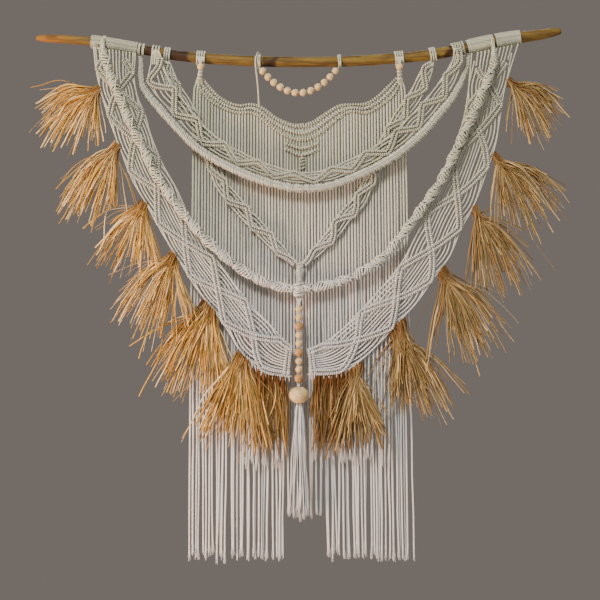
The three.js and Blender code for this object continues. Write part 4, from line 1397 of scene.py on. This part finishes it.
SWAG_TABLE = columns("at lean half y", [
    (0, 33, 8, -12), (0.06, 35, 22, -12.5), (0.12, 32, 20, -13), (0.2, 27.5, 16.5, -13), (0.5, 21.5, 11, -13),
    (0.8, 27, 16, -13), (0.92, 25, 14, -13), (1, 22, 8, -13),
])
SWAG_HEADS = ((-285.0, 7.0, -14.2, 22.0), (319.0, -11.0, -15.6, 26.0))
SWAG_WAVE = 38.5
CHEVRON_DEPTH = -2.0
CHEVRON_WAVE = 36.0
LEFT_CHEVRON = (
    (-262, 3, 4.5), (-260, -16, 10), (-251, -44, 12), (-229, -78, 12), (-207, -116, 12), (-189, -160, 12),
    (-171, -206, 12), (-153, -246, 13), (-129, -277, 14), (-105, -304, 14), (-71, -340, 13), (-37, -376, 11),
    (-7, -405, 5),
)
RIGHT_CHEVRON = (
    (268, -0.2, 4), (257, -18, 12), (239, -58, 14), (213, -96, 14), (189, -134, 14), (169, -172, 13),
    (157, -206, 12), (139, -244, 12), (117, -284, 14), (89, -314, 14), (67, -346, 13), (37, -378, 10),
    (11, -404, 5),
)


def band_middle(points: np.ndarray, half: np.ndarray, n: np.ndarray) -> Route:
    """The middle of a band, from its places, half its width as vectors, and n."""
    x, y, z = points.T
    return Route({"x": x, "y": y, "z": z, "hx": half[:, 0], "hz": half[:, 2], "n": n})


def swag_middle() -> Route:
    """The middle of the knotted swag, beside the roll's upper side.

    Returns:
        The route.
    """
    shares = np.linspace(0, 1, 89)
    row = {key: np.interp(shares, SWAG_TABLE["at"], values) for key, values in SWAG_TABLE.items()}
    aside = -ROLL.frames(shares)[2]
    points = ROLL.points(shares) + aside * row["lean"][:, None]
    points[:, 1] = row["y"]
    half = aside * row["half"][:, None]
    for end, (x, wide, y, z) in zip((0, -1), SWAG_HEADS):
        points[end] = [x, y, z]
        half[end] = [wide, 0, 0]
    return band_middle(points, half, milestones(points) / SWAG_WAVE)


def chevron_middle(rows: Sequence[Sequence[float]]) -> Route:
    """The middle of a chevron band.

    Args:
        rows: x, z and half the width at each station.

    Returns:
        The route.
    """
    route = Route(columns("x z half", rows))
    shares = np.linspace(0, 1, 60)
    points = route.points(shares)
    points[:, 1] = CHEVRON_DEPTH
    across = route.frames(shares)[2] * route.at(shares)["half"][:, None]
    return band_middle(points, across, shares * route.length / CHEVRON_WAVE)


@dataclass
class Sinnet:
    """The short sinnet of knots where the chevron bands meet."""

    rows: tuple = ((2, -3, -402.4, 7), (3, -5, -424, 9), (2, -11, -436, 5), (1, -15, -444.9, 8))

    def build(self, shop: Workshop) -> None:
        """Makes the sinnet.

        Args:
            shop: Trees and finishes.
        """
        route = Route(columns("x y z r", self.rows))
        wraps, cords = Threads(71), Threads(72)
        radius = route.at(np.linspace(0, 1, 20))["r"]
        wraps.wrap(route, 20, radius - 1.6, np.maximum(radius * 0.5 - 0.6, 1.5), 0.4)
        shares = np.linspace(0, 1, 12)
        reach = route.frames(shares)[2] * (route.at(shares)["r"] - 2.5)[:, None]
        for lane in (-0.5, 0.0, 0.5):
            cords.add(route.points(shares) + reach * lane)
        parts = [
            shop.rings(wraps, radius=1.9, step=4.6, points=12),
            shop.cords(cords, radius=1.9, step=6),
        ]
        shop.place(Slot.COTTON, "middle_sinnet", parts, "centre_sinnet")


# The spiral swag


SPIRAL = Route(columns("x y z wide", [
    (-389, -16, 42, 2.4), (-388, -24.5, 22, 4), (-383, -31, 2, 8), (-371, -31, -36, 9.5),
    (-355, -31, -72, 9.5), (-341, -31, -108, 9.5), (-323, -31, -146, 9.5), (-305, -31, -182, 9.5),
    (-289, -31, -216, 9.5), (-267, -31, -252, 9.5), (-243, -31, -286, 9.5), (-217, -31, -318, 9.5),
    (-187, -30, -352, 9.5), (-155, -27, -383, 9.5), (-122, -21, -409, 9.5), (-88, -17, -431, 9.5),
    (-45, -16, -448, 9.5), (1, -16, -454, 9.5), (47, -16, -448, 9.5), (95, -16, -435, 9.5),
    (135, -17, -414, 9.5), (171, -20, -388, 9.5), (205, -25, -348, 9.5), (237, -30, -305, 9.5),
    (262, -31, -270, 9.5), (291, -31, -224, 9.5), (309, -31, -186, 9.5), (327, -31, -148, 9.5),
    (345, -31, -110, 9.5), (363, -31, -70, 9.5), (379, -31, -30, 9.5), (388, -30, 2, 7),
    (387, -24, 22, 3.5), (386.5, -13.8, 41, 2.2),
]))


@dataclass
class Spiral:
    """The swag of half knots that turn round its core, with a knot in the middle."""

    pitch: float = 42.0
    thin: float = 0.78
    cord: float = 1.9
    neck: float = 0.52
    middle: float = 1.0
    count: int = 500

    def build(self, shop: Workshop) -> None:
        """Makes the swag.

        Args:
            shop: Trees and finishes.
        """
        shares = np.linspace(0, 1, self.count)
        twist = math.pi * SPIRAL.length / self.pitch * (shares - SPIRAL.find("x", self.middle))
        swell = self.neck + (1 - self.neck) * np.abs(np.cos(twist - 0.6)) ** 0.5
        wide = np.maximum((SPIRAL.at(shares)["wide"] - self.cord + 2.4) * swell, 0.8)
        wraps, cords, rings = Threads(81), Threads(82), Threads(83)
        wraps.wrap(SPIRAL, self.count, wide, np.maximum(wide * self.thin, 0.8), 0.55, twist, edge=0.85)
        _, front, across = SPIRAL.frames(shares)
        reach = np.maximum(wide - 1.0, 0.2)[:, None]
        for phase in (0.5, 1.5):
            angle = twist + phase * math.pi
            ring = front * np.cos(angle)[:, None] + across * np.sin(angle)[:, None]
            cords.add(SPIRAL.points(shares) + ring * reach * 1.02, shade=0.8)
            cords.add(SPIRAL.points(shares) + ring * reach * 0.35)
        ball = through([[self.middle, -19, -444], [self.middle, -19, -466]])
        wraps.wrap(ball, 8, 10.0, 6.0, 0.3, edge=0.85)
        ring_rows(rings, [(-390.5, -387.5)], 4.4)
        ring_rows(rings, [(385, 388)], 2.3)
        parts = [
            shop.rings(wraps, self.cord, step=4.6, points=14, jitter=0.12),
            shop.cords(cords, radius=1.9, step=5),
            shop.rings(rings, radius=1.8, step=3.6, points=24, jitter=0.02),
        ]
        shop.place(Slot.COTTON, "spiral_bundle", parts, "spiral_swag")


# The outer bands


BAND_DEPTH = -16.0
LEFT_BAND = (
    (-410, 44, -325, 30, -14.2, 0), (-409, 24, -323, 12, -14.6, 0.12), (-403, -24, -325, -32, -16, 0.6),
    (-391, -74, -319, -70, -16, 1.15), (-377, -120, -303, -108, -16, 1.6), (-359, -168, -293, -144, -16, 2),
    (-333, -236, -269, -204, -16, 2.65), (-303, -288, -241, -254, -16, 3.15),
    (-271, -346, -215, -312, -16, 3.7), (-239, -398, -187, -364, -16, 4.2),
    (-207, -450, -155, -404, -16, 4.7), (-171, -496, -121, -450, -16, 5.2),
    (-139, -542, -87, -492, -16, 5.7), (-111, -586, -53, -526, -16, 6.1),
    (-69, -620, -31, -552, -16, 6.55), (-14, -630, -15, -566, -16, 7),
)
RIGHT_BAND = (
    (440, 52, 346, 33, -16.3, 0.42), (439, 36, 343, 16, -16.3, 0.5), (425, -10, 339, -26, -16, 0.72),
    (411, -60, 335, -68, -16, 1.2), (403, -110, 327, -114, -16, 1.73), (393, -170, 313, -158, -16, 2.2),
    (373, -230, 297, -204, -16, 2.62), (351, -288, 277, -250, -16, 3.02), (325, -336, 251, -302, -16, 3.5),
    (303, -388, 225, -362, -16, 4), (269, -436, 199, -408, -16, 4.47), (235, -484, 163, -452, -16, 4.94),
    (197, -524, 127, -490, -16, 5.4), (155, -570, 89, -530, -16, 5.93), (93, -618, 49, -560, -16, 6.45),
    (18, -626, 19, -574, -16, 7),
)


@dataclass
class OuterBand(KnottedBand):
    """One of the two wide bands of diamonds, from the branch down to the middle.

    Its rows hold x and z of the outer edge, x and z of the inner edge, y and n.
    """

    side: str
    rows: tuple
    sleeves: tuple
    seed: int
    strands: int = 12
    under: float = 0.09

    def __post_init__(self) -> None:
        """Lays the middle of the band."""
        t = columns("ox oz ix iz y n", self.rows)
        outer, inner = (np.stack([t[edge + "x"], t["y"], t[edge + "z"]], 1) for edge in "oi")
        self.middle = band_middle((outer + inner) / 2, (inner - outer) / 2, t["n"])
        self.first, self.last = t["n"][0] + self.under, t["n"][-1]

    def edge(self, lane: float) -> Route:
        """A line along the band at one lane."""
        return through(self.place(np.linspace(self.first - self.under, self.last, 240), lane))

    def build(self, shop: Workshop) -> None:
        """Makes the band.

        Args:
            shop: Trees and finishes.
        """
        last = self.last
        cords, bars = Threads(self.seed), Threads(self.seed + 1)
        self.cells(cords)
        n = np.linspace(self.first + 0.16, last - 0.04, 400)
        wave = 0.8 * zigzag(n) + 0.2 * np.sin(math.pi * n)
        wave = np.where(n > last - 0.5, math.sin(math.pi * (last - 0.5)), wave)
        for side in (-1, 1):
            self.knots(bars, n, side * wave, 3.5 + 0.7 * side, 0.4 * side)
        self.knots(bars, np.full(40, last - 0.09), np.linspace(-1, 1, 40), 4.2, 0.4)
        for place in self.place(np.linspace(last - 0.76, last - 0.04, 12), -1.0, 1.0):
            sway = cords.random.normal(0, 1.0)
            loop = [[-1, 0, 1], [sway - 2.4, -1, -6], [sway, -1.5, -11], [sway + 2.4, -1, -6], [1, 0, 1]]
            cords.add(smooth(place + loop, 14), girth=0.95)
        sleeves = ring_rows(Threads(self.seed + 2), self.sleeves, 3.4, 0.03)
        ends = [(end - 1.0, end + 1.0) for low, high in self.sleeves for end in (low + 1, high - 1)]
        ring_rows(sleeves, ends, 1.6, 0.03)
        parts = [
            shop.cords(cords, radius=1.85, step=9), shop.rings(bars, radius=1.75, step=4.4, points=8),
            shop.rings(sleeves, radius=1.1, step=2.1, points=24, sides=5, jitter=0.01),
        ]
        shop.place(Slot.COTTON, f"band_{self.side}", parts, f"outer_band_{self.side}")

    def cells(self, cords: Threads) -> None:
        """Adds the cords inside the diamonds, in the triangles and at the edges.

        Args:
            cords: Where they go.
        """
        random, first, last = cords.random, self.first, self.last
        marks = np.linspace(0, 1, 12)
        for i in range(int(last)):
            for lane in np.linspace(-0.9, 0.9, self.strands):
                begin = first if i == int(first) else i + 0.5 * abs(lane)
                end = last - 0.02 if i == int(last) - 1 else i + 1 - 0.5 * abs(lane)
                if end - begin < 0.08:
                    continue
                slack = random.normal(0, 0.012) * np.sin(math.pi * marks)
                lift = 0.8 + random.uniform(-0.5, 0.5)
                cords.add(self.place(begin + (end - begin) * marks, lane + slack, lift))
            if i > first:
                for side in (-1.0, 1.0):
                    self.fan(cords, i, 0.0, side, 0.42, 5)
        for side in (-1, 1):
            cords.add(self.place(np.linspace(first, last, 150), side, 0.4))


# The raffia and the cotton fringe


@dataclass
class Tuft:
    """A tuft of raffia on a band's outer edge: its level, angles, reach, ribbons and width."""

    name: str
    level: float
    start: float
    stop: float
    reach: float
    ribbons: int = 150
    wide: float = 7.0


TUFTS = (
    Tuft("l1", -54, 180, 270, 142), Tuft("l2", -166, 206, 270, 165), Tuft("l3", -280, 216, 280, 155),
    Tuft("l4", -384, 212, 282, 175, 170, 12), Tuft("l5", -488, 222, 284, 195, 230, 22),
    Tuft("l6", -588, 232, 286, 190, 230, 24),
    Tuft("r1", -38, 4, -84, 140), Tuft("r2", -186, -12, -92, 165), Tuft("r3", -290, -34, -96, 180),
    Tuft("r4", -414, -28, -96, 195, 170, 14), Tuft("r5", -522, -46, -106, 185, 220, 22),
    Tuft("r6", -606, -58, -112, 165, 220, 22),
)


def clear_of_middle(x: float, root: float, clear: float) -> float:
    """A place along X that stays on the root's side of the middle."""
    return math.copysign(max(abs(x), clear), root)


@dataclass
class Raffia:
    """The raffia of one band: tufts on its edge and a row at its end."""

    band: OuterBand
    row_from: float
    row_to: float
    slabs: tuple = (-16.0, -24.0)
    row_level: float = -766.0
    row_ribbons: int = 165
    row_light: float = 0.1
    head: float = 14.0
    locks: int = 10
    stray: float = 0.14
    loose: int = 7
    droop: float = 0.55

    def build(self, shop: Workshop) -> None:
        """Makes the tufts and the row.

        Args:
            shop: Trees and finishes.
        """
        side, edge = self.band.side, self.band.edge(-1)
        tufts = [tuft for tuft in TUFTS if tuft.name.startswith(side)]
        for number, tuft in enumerate(tufts):
            self.finish(shop, f"tuft_{tuft.name}", self.tuft(tuft, number, edge), f"raffia_{tuft.name}")
        self.finish(shop, f"raffia_row_{side}", self.row(edge), f"raffia_{side}7")

    def finish(self, shop: Workshop, name: str, threads: Threads, node: str) -> None:
        """Makes one bundle of ribbons."""
        piece = shop.cord_tree.run(name, threads, shop.raffia, radius=1.8 * MM, sides=4, flat=0.24,
                                   step=0.012, wobble=0.0042, wobble_size=13.0)
        shop.place(Slot.RAFFIA, name, [piece], node)

    def ribbon(self, threads: Threads, points: Sequence, wide: float, light: float = 1.0) -> None:
        """Adds one ribbon through some places.

        Args:
            threads: Where it goes.
            points: The places.
            wide: Its girth.
            light: The lightest shade that it can have, from 0 to 1.
        """
        random = threads.random
        marks = np.linspace(0, 1, 9)
        tilt = random.normal(0, 0.5) + marks * random.uniform(-2.2, 2.2)
        shade = random.random() * light
        if random.random() < self.stray:
            wide, shade = 0.6 * wide, 1.0
        threads.add(smooth(points, 9), girth=wide * np.linspace(1, 0.55, 9), tilt=tilt, shade=shade)

    def tuft(self, tuft: Tuft, number: int, edge: Route) -> Threads:
        """The ribbons of one tuft.

        Args:
            tuft: Where it sits and how it spreads.
            number: Its place in the row of tufts.
            edge: The band's outer edge.

        Returns:
            The ribbons.
        """
        right = self.band.side == "r"
        share = edge.find("z", tuft.level)
        place = edge.points(share)[0]
        threads = Threads(300 + number + 50 * right)
        random = threads.random
        slab = self.slabs[number % 2]
        aim = math.radians((tuft.start + tuft.stop) / 2)
        outward = np.array([math.cos(aim), 0, math.sin(aim)])
        seat = np.array([place[0], BAND_DEPTH, place[2]]) + outward * 3.0
        slope = edge.frames(share)[0][0] * (-1 if right else 1)
        turns = random.normal(0, 0.05, self.locks) + (np.arange(self.locks) + 0.5) / self.locks
        reaches = random.uniform(0.78, 1.0, self.locks)
        for i in range(tuft.ribbons):
            lock = random.integers(self.locks)
            part = turns[lock] + random.normal(0, 0.045)
            angle = math.radians(tuft.start + (tuft.stop - tuft.start) * part)
            reach = tuft.reach * reaches[lock] * random.uniform(0.35, 1.0) ** 0.6
            if i % self.loose == 0:
                angle += random.normal(0, 0.3)
                reach *= 1.12
            heading = np.array([math.cos(angle), 0, math.sin(angle)])
            aside = np.clip(random.normal(0.5 - part, 0.3), -1, 1) * tuft.wide
            root = seat + random.normal(0, 1.6, 3) - slope * aside
            neck = root + unit(outward * 0.6 + heading * 0.4) * self.head
            level = reach * abs(math.cos(angle))
            sag = self.droop * random.random() * level
            tip = seat + heading * reach - sag * UP
            tip[1] = slab + random.normal(0, 3.5)
            tip += (root - seat) * 0.8
            middle = (neck + tip) / 2 + heading * 2 + (0.06 * level + 0.3 * sag) * UP
            middle[1] = (BAND_DEPTH + slab) / 2 + random.normal(0, 2.6)
            self.ribbon(threads, [root, neck, middle, tip], random.uniform(0.6, 1.7))
        return threads

    def row(self, edge: Route) -> Threads:
        """Hangs ribbons from the end of the band.

        Args:
            edge: The band's outer edge.

        Returns:
            The ribbons.
        """
        threads = Threads(395 if self.band.side == "r" else 390)
        random = threads.random
        low, high = edge.find("x", self.row_from), edge.find("x", self.row_to)
        for i in range(self.row_ribbons):
            share = low + (high - low) * (i + random.random()) / self.row_ribbons
            root = edge.points(share)[0] + [0, 0, -1.0 + random.normal(0, 1.5)]
            root[1] = BAND_DEPTH + random.normal(0, 1.8)
            level = self.row_level + 90 * random.random() ** 3 + random.normal(0, 14)
            x = clear_of_middle(root[0] + random.normal(0, 19), root[0], 24)
            tip = np.array([x, BAND_DEPTH + random.normal(0, 3), level])
            middle = (root + tip) / 2 + [random.normal(0, 8), random.normal(0, 2), 0]
            self.ribbon(threads, [root, middle, tip], random.uniform(0.5, 1.4), self.row_light)
        return threads


@dataclass
class Fringe:
    """The cotton fringe behind the raffia of one band."""

    band: OuterBand
    start: float
    stop: float
    cords: int = 16
    lane: float = -0.74
    depth: float = -10.0
    level: float = -806.0
    fray: float = 22.0

    def build(self, shop: Workshop) -> None:
        """Makes the fringe.

        Args:
            shop: Trees and finishes.
        """
        line = self.band.edge(self.lane)
        low, high = line.find("x", self.start), line.find("x", self.stop)
        threads = Threads(self.band.seed + 9)
        random = threads.random
        for i in range(self.cords):
            root = line.points(low + (high - low) * (i + 0.5) / self.cords)[0]
            root[1] = self.depth
            level = self.level + random.uniform(-14, 14)
            x = clear_of_middle(root[0] + random.normal(0, 2.5), root[0], 28)
            tip = np.array([x, self.depth + random.uniform(-1, 1), level + self.fray])
            points = np.linspace(root, tip, 8)
            points[1:-1, 0] += random.normal(0, 0.8, 6)
            shade = random.random()
            threads.add(points, shade=shade)
            threads.frays(tip, level, shade)
        side = self.band.side
        cords = shop.cords(threads, radius=2.0, step=11, wobble=0.0005)
        shop.place(Slot.COTTON, f"fringe_{side}", [cords], f"cord_fringe_{side}")


# The bead strand and the tassel


@dataclass
class Strand:
    """The beads under the middle, the big bead and the tassel."""

    x: float = 1.0
    depth: float = -18.0
    top: float = -463.2
    level: float = -479.0
    wide: float = 5.5
    beads: int = 9
    beads_from: float = -494.0
    gap: float = 1.3
    big_level: float = -665.0
    tassel_level: float = -908.0
    locks: int = 34
    spread: float = 21.0
    fray: float = 16.0

    def build(self, shop: Workshop) -> None:
        """Makes the strand and the tassel.

        Args:
            shop: Trees and finishes.
        """
        cords = Threads(91)
        end = self.big_level - BIG.half + 0.5
        for lane in (-1.0, -0.33, 0.33, 1.0):
            x, thin = self.x + lane * self.wide, self.x + lane * 0.7
            cords.add(smooth([
                [x, -16, self.top], [x, -17, (self.top + self.level) / 2],
                [self.x + lane * 1.4, self.depth, self.level - 1], [thin, self.depth, self.level - 8],
                [thin, self.depth, (self.level + end) / 2], [thin, self.depth, end],
            ], 40), girth=[1.0] * 8 + [0.6] * 32)
        shop.place(Slot.COTTON, "strand_core", [shop.cords(cords, radius=2.0, step=6)], "strand_cords")
        places: dict[Bead, list] = {LIGHT: [], BROWN: []}
        names: dict[Bead, list] = {LIGHT: [], BROWN: []}
        below = self.beads_from + LIGHT.half
        for i in range(self.beads):
            bead = BROWN if i % 3 == 2 else LIGHT
            places[bead].append([self.x, self.depth, below - bead.half])
            names[bead].append(f"strand_bead_{i + 1}")
            below -= 2 * bead.half + self.gap
        for bead, title in ((LIGHT, "strand_light_beads"), (BROWN, "strand_brown_beads")):
            string_beads(shop, title, bead, places[bead], [UP] * len(places[bead]), names[bead])
        string_beads(shop, "large_bead", BIG, [[self.x, self.depth, self.big_level]], [UP], ["big_bead"])
        self.tassel(shop)

    def tassel(self, shop: Workshop) -> None:
        """Makes the tassel.

        Args:
            shop: Trees and finishes.
        """
        threads = Threads(95)
        random = threads.random
        top = self.big_level - BIG.half - 0.5
        for _ in range(self.locks):
            angle = random.uniform(0, math.tau)
            ring = math.sqrt(random.random())
            level = self.tassel_level + random.uniform(-8, 24)
            out = np.array([math.cos(angle), 0.32 * math.sin(angle), 0]) * ring
            start = np.array([self.x, self.depth, top]) + out * 6.0
            neck = np.array([self.x, self.depth, top - 12]) + out * 9.0
            tip = np.array([self.x, self.depth, level + self.fray]) + out * self.spread
            middle = (neck + tip) / 2 + [random.normal(0, 1.5), 0, 0]
            shade = random.random()
            threads.add(smooth([start, neck, middle, tip], 10), shade=shade, girth=0.8)
            threads.frays(tip, level, shade)
        cords = shop.cords(threads, radius=2.0, step=11, sides=6, wobble=0.0026, wobble_size=12.0)
        shop.place(Slot.COTTON, "tassel_cords", [cords], "tassel")


# The studio


@dataclass
class Studio:
    """A pale floor, soft light and the camera that looks straight at the hanging."""

    distance: float = 3.0
    lens: float = 90.0
    sensor: float = 36.0
    centre: tuple = (0.003, -0.476)
    aim: tuple = (0.0, 0.0, -0.45)
    floor_level: float = -2.2
    floor_reach: float = 5.4
    floor_tone: tuple = (0.62, 0.61, 0.6, 1)
    backdrop: tuple = (0.175, 0.150, 0.133, 1)
    lamps: tuple = (
        ("key", (-1.1, -2.3, 1.7), 136, 0.7, (1.0, 0.98, 0.93)),
        ("warm", (-1.7, -0.7, -1.3), 80, 0.6, (1.0, 0.66, 0.50)),
        ("fill", (2.4, -2.2, 1.2), 32, 1.4, (0.88, 0.94, 1.0)),
        ("back", (0.6, 2.4, 1.2), 60, 1.6, (1.0, 1.0, 1.0)),
    )

    def camera(self) -> None:
        """Makes the camera."""
        data = bpy.data.cameras.new("camera")
        data.lens, data.sensor_width = self.lens, self.sensor
        made = put("camera", data)
        made.location = (self.centre[0], -self.distance, self.centre[1])
        made.rotation_euler = (math.radians(90), 0, 0)
        bpy.context.scene.camera = made

    def light(self) -> None:
        """Makes soft lamps that point at the middle of the hanging."""
        for name, place, power, size, colour in self.lamps:
            data = bpy.data.lights.new(name, "AREA")
            data.energy, data.size, data.color = power, size, colour
            made = put(name, data)
            made.location = place
            made.rotation_euler = (Vector(self.aim) - Vector(place)).to_track_quat("-Z", "Y").to_euler()

    def build(self) -> None:
        """Makes the floor, the background and the lamps."""
        material = bpy.data.materials.new("studio_floor")
        material.use_nodes = True
        finish = {"Base Color": self.floor_tone, "Roughness": 0.85}
        Nodes(material.node_tree).set(material.node_tree.nodes["Principled BSDF"], finish)
        mesh = bpy.data.meshes.new("floor")
        corners = [(x * self.floor_reach, y * self.floor_reach, self.floor_level)
                   for x, y in ((-1, -1), (1, -1), (1, 1), (-1, 1))]
        mesh.from_pydata(corners, [], [(0, 1, 2, 3)])
        mesh.materials.append(material)
        put("floor", mesh)
        world = bpy.data.worlds.new("studio")
        world.use_nodes = True
        world.node_tree.nodes["Background"].inputs["Color"].default_value = self.backdrop
        bpy.context.scene.world = world
        self.light()


def main() -> None:
    """Builds the studio and the hanging, piece by piece."""
    logging.basicConfig(level=logging.INFO, format="%(name)s: %(message)s")
    studio = Studio()
    studio.camera()
    studio.build()
    shop = Workshop()
    left = OuterBand("l", LEFT_BAND, ((-413, -323),), 100)
    right = OuterBand("r", RIGHT_BAND, ((343, 382), (395, 442)), 200)
    swag = ZigzagBand("swag_bundle", "upper_swag", swag_middle(), ((-291, -279), (309, 329)), 41, start=0.5)
    chevrons = [
        ZigzagBand(f"chevron_{side}", f"chevron_band_{side}", chevron_middle(rows), (head,), seed)
        for side, rows, head, seed in (
            ("l", LEFT_CHEVRON, (-266.5, -257.5), 50), ("r", RIGHT_CHEVRON, (263.5, 272.5), 60),
        )
    ]
    pieces = [
        Branch(), Curtain(), Garland(), WrappedRoll(), swag, *chevrons, Sinnet(), Spiral(), left, right,
        Raffia(left, -86, -26), Raffia(right, 104, 30), Fringe(left, -112, -26), Fringe(right, 186, 30),
        Strand(),
    ]
    for piece in pieces:
        piece.build(shop)


if __name__ == "__main__":
    main()
